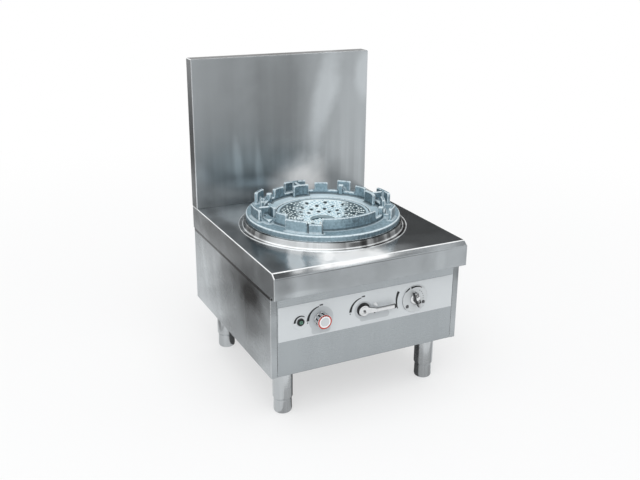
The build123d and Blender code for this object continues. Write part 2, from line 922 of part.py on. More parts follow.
def scroll_face(grow, outlet_x):
    start = scroll_start + grow
    first = (fan_x, fan_z)
    second = (fan_x, fan_z + scroll_step)
    third = (fan_x - scroll_step, fan_z + scroll_step)
    tongue_z = dial_z - duct_height / 2 - grow
    top_z = dial_z + duct_height / 2 + grow
    lines = []
    quarters = ((first, start, 180), (second, start + scroll_step, 270), (third, start + 2 * scroll_step, 0))
    for centre, radius, angle in quarters:
        steps = [scroll_point(centre, radius, angle + turn) for turn in (0, 45, 90)]
        lines.append(ThreePointArc(*steps))
    left = scroll_point(first, start, 180)
    top = scroll_point(third, start + 2 * scroll_step, 90)
    lines.append(
        Polyline(top, (outlet_x, 0, top_z), (outlet_x, 0, tongue_z), (left[0], 0, tongue_z), left)
    )
    return make_face(lines)


def make_blower_housing():
    outer = extrude(scroll_face(duct_wall, duct_end_x), casing_half, dir=(0, 1, 0), both=True)
    inner = extrude(scroll_face(0, duct_end_x - duct_wall), duct_width / 2, dir=(0, 1, 0), both=True)
    housing = outer + flange_box(duct_end_x) - inner
    eye = rod_y(eye_radius, (-casing_half - 1, 0), fan_x, fan_z)
    shaft_hole = rod_y(motor_shaft_radius + 1, (0, casing_half + 1), fan_x, fan_z)
    return housing - eye - shaft_hole


def make_blower_impeller():
    half = fan_width / 2
    back = rod_y(fan_radius, (half - fan_sheet, half), fan_x, fan_z)
    rim = rod_y(fan_radius, (-half, -half + fan_sheet), fan_x, fan_z)
    rim -= rod_y(fan_radius - fan_blade_depth, (-half - 1, half), fan_x, fan_z)
    hub = rod_y(2 * motor_shaft_radius, (0, half), fan_x, fan_z)
    shaft = rod_y(motor_shaft_radius, (0, casing_half + motor_bore_depth - fan_gap), fan_x, fan_z)
    sink = fan_sheet / 2
    blade = slab(
        (fan_radius - fan_blade_depth + sink, fan_radius - sink),
        (-half + sink, half - sink),
        (-fan_blade_sheet / 2, fan_blade_sheet / 2),
    )
    blades = [
        Pos(fan_x, 0, fan_z) * Rot(0, step * 360 / fan_blades, 0) * blade for step in range(fan_blades)
    ]
    return back + [rim, hub, shaft] + blades


def make_blower_motor():
    body = rod_y(motor_radius, (casing_half, casing_half + motor_length), fan_x, fan_z)
    body = chamfer(body.edges().group_by(Axis.Y)[-1], motor_radius / 8)
    bore = rod_y(motor_shaft_radius + stem_clearance, (0, casing_half + motor_bore_depth), fan_x, fan_z)
    return body - bore


def make_motor_saddle():
    start = casing_half + saddle_inset
    x_span = (fan_x - saddle_width / 2, fan_x + saddle_width / 2)
    block = slab(x_span, (start, start + saddle_length), (tray_top, fan_z))
    return block - rod_y(motor_radius + stem_fit, (start - 1, start + saddle_length + 1), fan_x, fan_z)


# Controls
def make_button_bezel():
    face = label_sheet
    front = face + bezel_height
    bezel = turned(
        (0, -barrel_length),
        (barrel_radius, -barrel_length),
        (barrel_radius, face),
        (bezel_radius, face),
        (bezel_radius, front - bezel_edge),
        (bezel_radius - bezel_edge, front),
        (button_radius + button_clearance, front),
        (button_radius + button_clearance, -barrel_length + button_floor),
        (0, -barrel_length + button_floor),
    )
    return on_panel(button_x, button_z, bezel)


def make_ignition_button():
    front = label_sheet + bezel_height + button_stand
    plunger = turned(
        (0, front - button_length),
        (button_radius, front - button_length),
        (button_radius, front - bezel_edge),
        (button_radius - bezel_edge, front),
        (0, front),
    )
    return on_panel(button_x, button_z, plunger)


def make_button_nut():
    back = -panel_sheet
    outline = Pos(0, 0, back - button_nut_height) * RegularPolygon(button_nut_radius, 6)
    nut = extrude(outline, button_nut_height)
    nut -= Cylinder(barrel_radius + barrel_clearance, 4 * barrel_length)
    return on_panel(button_x, button_z, nut)


def knob_base():
    return label_sheet + knob_gap


def make_regulator_knob():
    base = knob_base()
    front = base + knob_height
    knob = turned(
        (0, base),
        (knob_radius, base),
        (knob_radius, base + knob_height / 4),
        (knob_front_radius, front - knob_edge),
        (knob_front_radius - knob_edge, front),
        (0, front),
    )
    flute = Pos(knob_radius + knob_flute_radius / 2, 0, base + knob_height * 0.75)
    flute = flute * Cylinder(knob_flute_radius, knob_height)
    cuts = [Rot(0, 0, step * 360 / knob_flutes) * flute for step in range(knob_flutes)]
    bore = Pos(0, 0, base + stem_grip / 2) * Cylinder(pilot_stem_radius + stem_fit, stem_grip)
    return on_panel(knob_x, control_z, knob - cuts - bore)


def make_knob_ring():
    front = knob_base() + knob_height
    ring = turned(
        (knob_ring_radius - knob_ring_width, front),
        (knob_ring_radius, front),
        (knob_ring_radius, front + knob_ring_height),
        (knob_ring_radius - knob_ring_width, front + knob_ring_height),
    )
    return on_panel(knob_x, control_z, ring)


def make_knob_cap():
    front = knob_base() + knob_height
    cap = turned(
        (0, front),
        (knob_cap_radius, front),
        (knob_cap_radius, front + knob_cap_height / 2),
        (knob_cap_radius - knob_cap_height, front + knob_cap_height),
        (0, front + knob_cap_height),
    )
    return on_panel(knob_x, control_z, cap)


def tap_face():
    return panel_front - manifold_y + inlet_radius + tap_stand


def make_pilot_stem():
    stem = turned(
        (0, tap_face() + stem_grip / 4),
        (pilot_plug_radius, tap_face() + stem_grip / 4),
        (pilot_plug_radius, -panel_sheet),
        (pilot_stem_radius, -panel_sheet),
        (pilot_stem_radius, knob_base() + stem_grip),
        (0, knob_base() + stem_grip),
    )
    return on_panel(knob_x, control_z, stem)


def make_pilot_valve():
    tap = tap_face()
    bore = pilot_plug_radius + stem_clearance
    neck = pilot_stem_radius + stem_clearance
    body = turned(
        (0, tap),
        (pilot_body_radius, tap),
        (pilot_body_radius, -panel_sheet - 2 * bonnet_flange),
        (bonnet_flange_radius, -panel_sheet - 2 * bonnet_flange),
        (bonnet_flange_radius, -panel_sheet),
        (pilot_body_radius, -panel_sheet),
        (pilot_body_radius, label_sheet),
        (neck, label_sheet),
        (neck, -panel_sheet + stem_clearance),
        (bore, -panel_sheet + stem_clearance),
        (bore, tap + stem_grip / 5),
        (0, tap + stem_grip / 5),
    )
    port_y = panel_front - pilot_port_out()
    port = rod_z(pilot_port_radius, (control_z - pilot_port_drop, control_z - bore), knob_x, port_y)
    port -= rod_z(pilot_tube_radius / 2, (control_z - 2 * pilot_port_drop, control_z), knob_x, port_y)
    return on_panel(knob_x, control_z, body) + port


def pilot_port_out():
    return tap_face() / 2 - bonnet_flange


def hub_base():
    return label_sheet + hub_gap


def make_gas_lever():
    base = hub_base()
    front = base + hub_height
    hub = turned(
        (0, base),
        (hub_radius, base),
        (hub_radius, front - hub_edge),
        (hub_radius - hub_edge, front),
        (0, front),
    )
    bore = Pos(0, 0, base + lever_grip / 2) * Cylinder(valve_stem_radius + stem_fit, lever_grip)
    hole = Pos(0, 0, front) * Cylinder(lever_screw_shank + stem_fit, 2 * lever_screw_length)
    return on_panel(lever_x, control_z, hub + lever_arm(base) - bore - hole)


def lever_arm(base):
    # The arm's side view, stepped out at the neck, cut to its narrowing front view
    high = base + arm_lift
    straight = arm_length - arm_width / 2
    side = (
        (0, base),
        (neck_start, base),
        (neck_end, high),
        (arm_length, high),
        (arm_length, high + arm_depth),
        (neck_end, high + arm_depth),
        (neck_start, base + hub_height),
        (0, base + hub_height),
    )
    front = (
        (0, -arm_root / 2),
        (neck_start, -arm_root / 2),
        (neck_end, -arm_width / 2),
        (straight, -arm_width / 2),
        (straight, arm_width / 2),
        (neck_end, arm_width / 2),
        (neck_start, arm_root / 2),
        (0, arm_root / 2),
    )
    side_face = make_face(Polyline(*[(x, 0, out) for x, out in side], close=True))
    front_face = make_face(Polyline(*front, close=True)) + Pos(straight, 0) * Circle(arm_width / 2)
    depth = extrude(side_face, arm_root, dir=(0, 1, 0), both=True)
    return depth & extrude(front_face, high + 2 * arm_depth)


def make_lever_screw():
    front = hub_base() + hub_height
    screw = turned(
        (0, front - lever_screw_length),
        (lever_screw_shank, front - lever_screw_length),
        (lever_screw_shank, front),
        (lever_screw_radius, front),
        (lever_screw_radius, front + lever_screw_head / 2),
        (lever_screw_radius - lever_screw_head / 2, front + lever_screw_head),
        (0, front + lever_screw_head),
    )
    return on_panel(lever_x, control_z, screw)


def make_valve_plug():
    axis = panel_front - manifold_y
    plug = turned(
        (0, axis - valve_plug_radius),
        (valve_plug_radius, axis - valve_plug_radius),
        (valve_plug_radius, axis + valve_plug_radius),
        (valve_stem_radius, axis + valve_plug_radius),
        (valve_stem_radius, hub_base() + lever_grip),
        (0, hub_base() + lever_grip),
    )
    way = Pos(0, 0, axis) * Rot(0, 90, 0) * Cylinder(valve_bore, 4 * valve_plug_radius)
    return on_panel(lever_x, control_z, plug - way)


def make_main_gas_valve():
    axis = panel_front - manifold_y
    bore = valve_plug_radius + stem_clearance
    neck = valve_stem_radius + stem_clearance
    ends = (lever_x - valve_length / 2, lever_x + valve_length / 2)
    body = rod_x(valve_radius, ends, manifold_y, control_z)
    bonnet = turned(
        (0, axis),
        (bonnet_radius, axis),
        (bonnet_radius, -panel_sheet - bonnet_flange),
        (bonnet_flange_radius, -panel_sheet - bonnet_flange),
        (bonnet_flange_radius, -panel_sheet),
        (bonnet_radius, -panel_sheet),
        (bonnet_radius, label_sheet + bonnet_stand),
        (0, label_sheet + bonnet_stand),
    )
    room = turned(
        (0, axis - bore),
        (bore, axis - bore),
        (bore, axis + bore),
        (neck, axis + bore),
        (neck, hub_base()),
        (0, hub_base()),
    )
    body += on_panel(lever_x, control_z, bonnet)
    body -= rod_x(valve_bore, (ends[0] - 1, ends[1] + 1), manifold_y, control_z)
    return body - on_panel(lever_x, control_z, room)


def make_air_dial_plate():
    plate = turned(
        (bush_radius + barrel_clearance, label_sheet),
        (dial_radius, label_sheet),
        (dial_radius, label_sheet + dial_plate / 2),
        (dial_radius - dial_plate / 2, label_sheet + dial_plate),
        (bush_radius + barrel_clearance, label_sheet + dial_plate),
    )
    for x, z in dial_screw_offsets():
        plate -= Pos(x, z, 0) * Cylinder(dial_screw_shank + barrel_clearance, 4 * dial_plate + label_sheet)
    return on_panel(dial_x, dial_z, plate)


def make_dial_screws():
    base = label_sheet + dial_plate
    screws = []
    for x, z in dial_screw_offsets():
        screw = turned(
            (0, base - dial_screw_length),
            (dial_screw_shank, base - dial_screw_length),
            (dial_screw_shank, base),
            (dial_screw_radius, base),
            (dial_screw_radius - dial_screw_head / 2, base + dial_screw_head),
            (0, base + dial_screw_head),
        )
        screws.append(on_panel(dial_x + x, dial_z + z, screw))
    return Compound(children=screws)


def make_shaft_bush():
    front = label_sheet + dial_plate
    bore = shaft_radius + stem_clearance
    bush = turned(
        (bore, front),
        (bush_radius, front),
        (bush_radius, -panel_sheet),
        (bush_flange_radius, -panel_sheet),
        (bush_flange_radius, -panel_sheet - bush_flange),
        (bush_radius, -panel_sheet - bush_flange),
        (bush_radius, -panel_sheet - bush_tail),
        (bore, -panel_sheet - bush_tail),
    )
    return on_panel(dial_x, dial_z, bush)


def make_air_knob():
    base = label_sheet + dial_plate + air_knob_gap
    top = base + air_knob_base
    disc = turned(
        (0, base),
        (air_knob_radius, base),
        (air_knob_radius, top - air_knob_edge),
        (air_knob_radius - air_knob_edge, top),
        (0, top),
    )
    grip = Box(grip_length, grip_width, grip_height + grip_sink)
    grip = fillet(grip.edges().filter_by(Axis.Z), grip_round)
    grip = fillet(grip.edges().group_by(Axis.Z)[-1], grip_edge)
    grip = Pos(0, 0, top + (grip_height - grip_sink) / 2) * Rot(0, 0, grip_angle) * grip
    bore = Pos(0, 0, base + stem_grip / 2) * Cylinder(shaft_radius + stem_fit, stem_grip)
    return on_panel(dial_x, dial_z, disc + grip - bore)


# Gas pipes and pilot
def make_gas_inlet_pipe():
    end_x = lever_x - valve_length / 2
    corner = (inlet_x, manifold_y, control_z)
    points = ((inlet_x, deck_rear, control_z), corner, (end_x, manifold_y, control_z))
    line = pipe(points, inlet_bend, inlet_radius, inlet_bore)
    tap_y = (panel_front - tap_face(), manifold_y - inlet_bore)
    line += rod_y(tap_radius, tap_y, knob_x, control_z)
    thread_start = deck_rear - nipple_length
    nipple = rod_y(nipple_radius, (thread_start, deck_rear), inlet_x, control_z)
    nipple += hex_y(nipple_hex_radius, (thread_start - nipple_hex, thread_start), inlet_x, control_z)
    return line + nipple - rod_y(inlet_bore, (rear_outer, deck_rear + 1), inlet_x, control_z)


def make_burner_gas_pipe():
    start_x = lever_x + valve_length / 2
    end_y = -boss_reach - injector_length
    points = ((start_x, manifold_y, control_z), (feed_x, manifold_y, control_z), (feed_x, end_y, control_z))
    return pipe(points, feed_bend, feed_radius, feed_bore)


def make_gas_injector():
    back = -boss_reach - injector_length
    body = hex_y(injector_radius, (back, -boss_reach), feed_x, control_z)
    body += rod_y(nozzle_radius, (-boss_reach, -boss_reach + nozzle_length), feed_x, control_z)
    return body - rod_y(nozzle_bore, (back - 1, -boss_reach + nozzle_length + 1), feed_x, control_z)


def make_pilot_pipe():
    start = (knob_x, panel_front - pilot_port_out(), control_z - pilot_port_drop)
    low = start[2] - pilot_tube_drop
    points = (start, (knob_x, start[1], low), (pilot_x, pilot_y, low), (pilot_x, pilot_y, pilot_foot()))
    return pipe(points, pilot_tube_bend, pilot_tube_radius)


def pilot_foot():
    return plenum_bottom - pilot_tube_gap


def make_pilot_burner():
    top = dish_height(pilot_reach, dish_radius) + pilot_burner_stand
    tube = rod_z(pilot_burner_radius, (pilot_foot(), top), pilot_x, pilot_y)
    return tube - rod_z(pilot_burner_radius / 2, (top - pilot_burner_stand, top + 1), pilot_x, pilot_y)


def make_spark_electrode():
    reach = hypot(electrode_x, electrode_y)
    top = dish_height(reach, dish_radius) + electrode_stand
    rod = rod_z(electrode_radius, (plenum_bottom - electrode_tail, top), electrode_x, electrode_y)
    return rod + rod_z(electrode_tip_radius, (top - 1, top + electrode_tip), electrode_x, electrode_y)


# Ignition unit, supply terminals and leads
def make_ignition_module():
    width, depth, height = module_size
    box = Pos(module_x, module_y, tray_top + height / 2) * Box(width, depth, height)
    return fillet(box.edges().filter_by(Axis.Z), depth / 10)


def make_terminal_box():
    width, depth, height = terminal_size
    box = Pos(terminal_x, rear_inner - depth / 2, terminal_z) * Box(width, depth, height)
    return fillet(box.edges().filter_by(Axis.Y), depth / 8)


def make_power_gland():
    body = rod_y(gland_radius, (rear_inner - gland_nut, rear_outer + gland_length), gland_x, terminal_z)
    body += hex_y(gland_nut_radius, (rear_outer, rear_outer + gland_nut), gland_x, terminal_z)
    body += hex_y(gland_nut_radius, (rear_inner - gland_nut, rear_inner), gland_x, terminal_z)
    through = (rear_inner - gland_nut - 1, rear_outer + gland_length + 1)
    return body - rod_y(gland_bore, through, gland_x, terminal_z)


def make_spark_lead():
    tail = plenum_bottom - electrode_tail
    z = tray_top + lead_share * (tail - tray_top)
    start_x = module_x + module_size[0] / 2
    points = (
        (start_x, module_y, z),
        ((start_x + electrode_x) / 2, module_y, z),
        (electrode_x, electrode_y, z),
        (electrode_x, electrode_y, tail),
    )
    return pipe(points, lead_bend, lead_radius)


def make_button_lead():
    start_y = panel_front + barrel_length - button_lead_inset
    low = (control_z - inlet_radius + module_top) / 2
    points = (
        (button_x, start_y, button_z - barrel_radius),
        (button_x, start_y, low),
        (button_x, module_y, low),
        (button_x, module_y, module_top),
    )
    return pipe(points, lead_bend, lead_radius)


def make_supply_lead():
    start = rear_inner - gland_nut
    turn = start - supply_lead_reach
    points = (
        (gland_x, start, terminal_z),
        (gland_x, turn, terminal_z),
        (terminal_x, turn, terminal_z),
        (terminal_x, rear_inner - terminal_size[1], terminal_z),
    )
    return pipe(points, lead_bend, lead_radius)


def make_motor_lead():
    y = rear_inner - terminal_size[1] / 2
    start = (terminal_x + terminal_size[0] / 2, y, terminal_z)
    points = (start, (fan_x, y, terminal_z), (fan_x, casing_half + motor_length, terminal_z))
    return pipe(points, lead_bend, lead_radius)


def make_wiring_leads():
    leads = (make_spark_lead(), make_button_lead(), make_supply_lead(), make_motor_lead())
    return Compound(children=leads)


parts = {
    "deck": make_deck(),
    "deck_braces": Compound(children=[make_brace(-1), make_brace(1)]),
    "left_side_panel": make_side_panel(-1),
    "right_side_panel": make_side_panel(1),
    "front_panel": make_front_panel(),
    "control_label": make_control_label(),
    "rear_panel": make_rear_panel(),
    "rear_panel_screws": make_rear_panel_screws(),
    "bottom_tray": make_bottom_tray(),
    "splashback_skin": make_splashback_skin(),
    "splashback_cover": make_splashback_cover(),
    "splashback_posts": Compound(children=[make_splashback_post(-1), make_splashback_post(1)]),
    "splashback_bolts": make_splashback_bolts(),
    "leg_nuts": make_leg_nuts(),
    "burner_collar": make_collar(),
    "pot_ring": make_pot_ring(),
    "burner_bowl": make_burner_bowl(),
    "burner_plenum": make_burner_plenum(),
    "burner_stand": make_burner_stand(),
    "air_duct": make_air_duct(),
    "damper_plate": make_damper_plate(),
    "damper_shaft": make_damper_shaft(),
    "blower_housing": make_blower_housing(),
    "blower_impeller": make_blower_impeller(),
    "blower_motor": make_blower_motor(),
    "motor_saddle": make_motor_saddle(),
    "button_bezel": make_button_bezel(),
    "ignition_button": make_ignition_button(),
    "button_nut": make_button_nut(),
    "regulator_knob": make_regulator_knob(),
    "knob_ring": make_knob_ring(),
    "knob_cap": make_knob_cap(),
    "pilot_stem": make_pilot_stem(),
    "pilot_valve": make_pilot_valve(),
    "gas_lever": make_gas_lever(),
    "lever_screw": make_lever_screw(),
    "valve_plug": make_valve_plug(),
    "main_gas_valve": make_main_gas_valve(),
    "air_dial_plate": make_air_dial_plate(),
    "dial_screws": make_dial_screws(),
    "shaft_bush": make_shaft_bush(),
    "air_knob": make_air_knob(),
    "gas_inlet_pipe": make_gas_inlet_pipe(),
    "burner_gas_pipe": make_burner_gas_pipe(),
    "gas_injector": make_gas_injector(),
    "pilot_pipe": make_pilot_pipe(),
    "pilot_burner": make_pilot_burner(),
    "spark_electrode": make_spark_electrode(),
    "ignition_module": make_ignition_module(),
    "terminal_box": make_terminal_box(),
    "power_gland": make_power_gland(),
    "wiring_leads": make_wiring_leads(),
}
for place, (leg_x, leg_y) in leg_places.items():
    parts["leg_" + place] = make_leg(leg_x, leg_y)
    parts["foot_" + place] = make_foot(leg_x, leg_y)

os.makedirs("parts", exist_ok=True)
for name, shape in parts.items():
    export_step(shape, os.path.join("parts", name + ".step"))
print(len(parts), "nodes written")
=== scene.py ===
import bpy
import bmesh
import numpy as np
from math import atan2, copysign, cos, hypot, pi, radians, sin, sqrt
from mathutils import Matrix, Vector
from random import Random


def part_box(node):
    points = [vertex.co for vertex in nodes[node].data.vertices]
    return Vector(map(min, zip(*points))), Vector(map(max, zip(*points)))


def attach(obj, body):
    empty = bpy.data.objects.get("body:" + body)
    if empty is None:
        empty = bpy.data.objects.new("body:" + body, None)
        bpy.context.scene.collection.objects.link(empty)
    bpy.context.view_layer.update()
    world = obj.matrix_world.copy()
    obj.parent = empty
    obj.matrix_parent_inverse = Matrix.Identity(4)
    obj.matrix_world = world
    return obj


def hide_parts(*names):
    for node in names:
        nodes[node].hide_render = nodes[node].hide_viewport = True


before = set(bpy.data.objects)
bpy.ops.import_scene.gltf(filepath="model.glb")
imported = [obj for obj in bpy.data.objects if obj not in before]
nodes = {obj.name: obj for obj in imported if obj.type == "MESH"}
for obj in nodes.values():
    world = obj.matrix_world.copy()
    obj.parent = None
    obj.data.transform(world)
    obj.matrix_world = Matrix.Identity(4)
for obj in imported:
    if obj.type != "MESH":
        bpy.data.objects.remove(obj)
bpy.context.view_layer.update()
scene = bpy.context.scene
scene.view_settings.view_transform = "Standard"
mm = 0.001
panelFront = -294.0  # y of the front panel's face, in millimetres
controls = {  # x and z of their middles
    "button": (-211.8, 299.5),
    "knob": (-150.3, 297.0),
    "lever": (-20.4, 297.0),
    "dial": (148.5, 300.0),
}
square = ((-1, -1), (1, -1), (1, 1), (-1, 1))
print("frame loaded with", len(nodes), "nodes")


class Wire:  # a socket that can be used in sums
    def __init__(self, tree, socket=None):
        self.tree = tree
        self.socket = socket

    def node(self, kind, sockets=None, out=0, **settings):
        made = self.tree.nodes.new(kind)
        for key, value in settings.items():
            setattr(made, key, value)
        for key, value in (sockets or {}).items():
            for one in value if isinstance(value, list) else [value]:
                if isinstance(one, Wire):
                    self.tree.links.new(one.socket, made.inputs[key])
                else:
                    made.inputs[key].default_value = one
        return Wire(self.tree, made.outputs[out] if made.outputs else None)

    def maths(self, operation, first, second=0.0):
        return self.node("ShaderNodeMath", {0: first, 1: second}, operation=operation)

    def __add__(self, other):
        return self.maths("ADD", self, other)

    def __sub__(self, other):
        return self.maths("SUBTRACT", self, other)

    def __rsub__(self, other):
        return self.maths("SUBTRACT", other, self)

    def __mul__(self, other):
        return self.maths("MULTIPLY", self, other)

    def __pow__(self, other):
        return self.maths("POWER", self, other)

    def __abs__(self):
        return self.maths("ABSOLUTE", self)

    __radd__ = __add__
    __rmul__ = __mul__


# shorthands for the nodes used most
def noise(at, scale, detail=3.0, rough=0.55):
    sockets = {"Vector": at, "Scale": scale, "Detail": detail, "Roughness": rough}
    return at.node("ShaderNodeTexNoise", sockets)


def stretch(at, scale, turn=(0, 0, 0)):
    turned = tuple(radians(angle) for angle in turn)
    return at.node("ShaderNodeMapping", {"Vector": at, "Rotation": turned, "Scale": scale})


def ease(value, low, high, start=0.0, end=1.0):
    sockets = {0: value, 1: low, 2: high, 3: start, 4: end}
    return value.node("ShaderNodeMapRange", sockets, interpolation_type="SMOOTHSTEP")


def tinted(tone, amount):  # a colour made lighter or darker by a number that varies
    return amount.node("ShaderNodeVectorMath", {0: tone, "Scale": amount}, operation="SCALE")


def blended(first, second, share):
    first, second = [tone if isinstance(tone, Wire) else (*tone, 1.0) for tone in (first, second)]
    return share.node("ShaderNodeMix", {0: share, 6: first, 7: second}, 2, data_type="RGBA")


def bumped(height, strength, distance):
    return height.node("ShaderNodeBump", {"Strength": strength, "Distance": distance, "Height": height})


def most(first, *others):  # the largest of several numbers
    for other in others:
        first = first.maths("MAXIMUM", first, other)
    return first


def parted(at):
    return [at.node("ShaderNodeSeparateXYZ", {0: at}, axis) for axis in range(3)]


def millimetres(at):
    return [part * 1000.0 for part in parted(at)]


def normalParts(at):
    return parted(at.node("ShaderNodeNewGeometry", out="Normal"))


def reach(first, second):  # distance from the origin of two coordinates
    return (first * first + second * second) ** 0.5


def cleared(owner):  # an empty node tree to wire up
    owner.use_nodes = True
    owner.node_tree.nodes.clear()
    return Wire(owner.node_tree)


def material(name, build):
    made = bpy.data.materials.new(name)
    at = cleared(made).node("ShaderNodeTexCoord", out="Object")
    shader = at.node("ShaderNodeBsdfPrincipled", build(at))
    at.node("ShaderNodeOutputMaterial", {"Surface": shader})
    return made


def reflectionPatches(at, axes, marks, soft=0.25):  # painted reflection patches, uneven, sizes in millimetres
    parts = millimetres(at)
    first, second = [parts[axis] for axis in axes]
    wander = noise(at, 9.0, 3.0)
    total = 0.0
    for middleFirst, middleSecond, halfFirst, halfSecond, lean, strength in marks:
        along = (second - middleSecond) * (1.0 / halfSecond)
        across = (first - middleFirst - (second - middleSecond) * lean) * (1.0 / halfFirst)
        total = total + ease(reach(across, along) + (wander - 0.5) * 0.9, soft, 1.0, strength, 0.0)
    return total


# sheet steel: hair lines across, smears along, soft clouds, a few scratches and painted reflection patches
def brushedSteel(name, look, sheenAndWear=(), glare=None):
    def build(at):
        hair = noise(stretch(at, look["hairScale"]), 1.0, 5.0, 0.65)
        smear = noise(stretch(at, look["smearScale"]), 1.0, 3.0, 0.5)
        cloud = noise(at, look["cloudScale"], 4.0, 0.6)
        scratch = ease(noise(stretch(at, (9, 9, 260), (24, 31, 18)), 1.0, 2.0), 0.70, 0.76)
        tone = 1.0 + (hair - 0.5) * look["hair"] + (smear - 0.5) * look["smear"]
        tone = tone + (cloud - 0.5) * look["cloud"]
        for axes, marks in sheenAndWear:
            tone = tone + reflectionPatches(at, axes, marks)
        if "streaks" in look:  # painted reflection streaks, upright, that fade upwards
            gain, low, high = look["streaks"]
            streak = noise(stretch(at, (42, 42, 1.3)), 1.0, 3.0)
            tone = tone + (streak - 0.5) * ease(parted(at)[2], low * mm, high * mm, gain, 0.0)
        if "returns" in look:  # folded sides and top turned away from the light
            nx, ny, nz = normalParts(at)
            side, top = look["returns"]
            tone = tone - ease(abs(nx), 0.7, 0.95, 0.0, side) * (0.75 + cloud * 0.5)
            tone = tone - ease(nz, 0.7, 0.95, 0.0, top)
        if "eaves" in look:  # the shadow line under the deck's fold
            depth, low, high = look["eaves"]
            tone = tone - ease(parted(at)[2], low * mm, high * mm, 0.0, depth)
        rough = look["rough"] + (cloud - 0.5) * 0.12 + (smear - 0.5) * 0.08 + scratch * 0.05
        colour = tinted(look["tone"], tone + scratch * 0.05)
        metal = look["metal"]
        if glare:  # painted glare, a pale highlight on what stands above a level
            above = ease(parted(at)[2], glare["level"] * mm, (glare["level"] + 6) * mm)
            paintedGlare = reflectionPatches(at, glare["axes"], glare["marks"], glare["soft"]) * above
            colour = blended(colour, glareTone, paintedGlare)
            metal = metal - paintedGlare
        return {
            "Base Color": colour,
            "Metallic": metal,
            "Roughness": rough + (hair - 0.5) * 0.10,
            "Normal": bumped(hair, look["bump"], 0.0004),
        }

    return material(name, build)


sheetLook = {
    "tone": (0.418, 0.447, 0.464),
    "hairScale": (3, 3, 1500),
    "smearScale": (16, 16, 1.2),
    "cloudScale": 6.0,
    "hair": 0.04,
    "smear": 0.14,
    "cloud": 0.10,
    "rough": 0.27,
    "metal": 1.0,
    "bump": 0.014,
}
# painted reflections: lighter and darker patches on the steel sheets, in the tables below
splashReflections = (  # x and z of the middle, two half sizes, lean and strength
    (140, 780, 62, 230, 0.22, 0.46), (285, 850, 44, 110, 0.0, 0.30), (240, 690, 110, 280, 0.1, 0.10),
    (-20, 780, 150, 280, 0.0, -0.22), (-160, 590, 20, 130, -0.08, 0.34), (-88, 572, 16, 130, -0.06, 0.30),
    (-122, 556, 22, 44, 0.0, -0.12), (-52, 556, 34, 40, 0.0, -0.10), (-288, 530, 50, 90, 0.0, 0.40),
    (-150, 500, 150, 50, 0.0, 0.75), (190, 535, 46, 60, 0.0, -0.14),
)
deckReflections = (  # x and y
    (-276, 0, 46, 900, 0.0, -0.36), (-258, -250, 40, 90, 0.3, -0.14),
    (110, -285, 70, 46, 0.0, 0.30), (-262, 160, 60, 200, 0.0, -0.12),
)
glareTone = (0.94, 0.95, 0.955)
splashGlare = {
    "axes": (0, 2),
    "marks": ((66, 496, 135, 125, 0.0, 1.15),),
    "level": 460,
    "soft": 0.0,
}
deckGlare = {
    "axes": (0, 1),
    "marks": (
        (-44, -292, 150, 100, 0.0, 0.92), (60, -290, 100, 60, 0.0, 0.14),
        (-200, -240, 32, 140, 0.38, 0.52), (-140, -255, 56, 110, 0.4, 0.30),
    ),
    "level": 449,
    "soft": 0.45,
}
apronReflections = (  # x and z
    (-255, 408, 66, 50, 0.0, 0.14), (210, 418, 26, 48, 0.0, 0.12), (-225, 396, 80, 12, 0.0, 0.16),
    (0, 418, 340, 60, 0.0, -0.06),
)
sleeveReflections = ((30, 424, 460, 80, 0.0, -0.34),)  # y and z, the deck's side folds
sideReflections = (  # y and z
    (200, 190, 200, 190, 0.0, 0.34), (-130, 330, 120, 150, 0.0, -0.20), (-150, 372, 270, 84, 0.0, -0.60),
    (-180, 290, 190, 110, 0.0, -0.32), (-232, 190, 80, 66, 0.0, 0.10), (120, 250, 28, 170, 0.25, 0.16),
    (235, 300, 22, 160, 0.25, 0.16), (40, 330, 60, 70, 0.0, -0.16), (-124, 316, 30, 60, 0.0, -0.14),
)
panelLook = {**sheetLook, "tone": (0.390, 0.421, 0.439), "cloud": 0.16, "smear": 0.20}
panelSteel = brushedSteel("panelSteel", panelLook)
sideLook = {**sheetLook, "eaves": (0.85, 375, 381)}
sideSteel = brushedSteel("sideSteel", sideLook, [((1, 2), sideReflections)])
splashLook = {
    **sheetLook,
    "smear": 0.26,
    "smearScale": (14, 14, 0.9),
    "rough": 0.32,
    "streaks": (0.55, 520, 800),
    "returns": (0.70, 0.84),
}
splashSteel = brushedSteel("splashSteel", splashLook, [((0, 2), splashReflections)], splashGlare)
deckLook = {**sheetLook, "hairScale": (3, 1500, 1500), "smearScale": (3, 9, 9), "rough": 0.20, "cloud": 0.2}
deckReflectionSets = [((0, 1), deckReflections), ((0, 2), apronReflections), ((1, 2), sleeveReflections)]
deckSteel = brushedSteel("deckSteel", deckLook, deckReflectionSets, deckGlare)
legLook = {**sheetLook, "tone": (0.52, 0.545, 0.56), "smearScale": (48, 48, 3), "smear": 0.95, "rough": 0.24}
legSteel = brushedSteel("legSteel", legLook)
# painted highlight on the rounded edges of the sheets
edgeShineLook = {**sheetLook, "tone": (0.90, 0.92, 0.93), "cloudScale": 16.0, "cloud": 0.8, "rough": 0.22}
edgeShineSteel = brushedSteel("edgeShineSteel", {**edgeShineLook, "metal": 0.12})
zincLook = {**sheetLook, "tone": (0.56, 0.56, 0.55), "cloudScale": 70.0, "cloud": 0.4, "rough": 0.38}
zincSteel = brushedSteel("zincSteel", zincLook)


spunLook = {"tone": (0.64, 0.66, 0.67), "rim": 251.4, "step": 240.4, "sweep": (190.0, 236.0)}


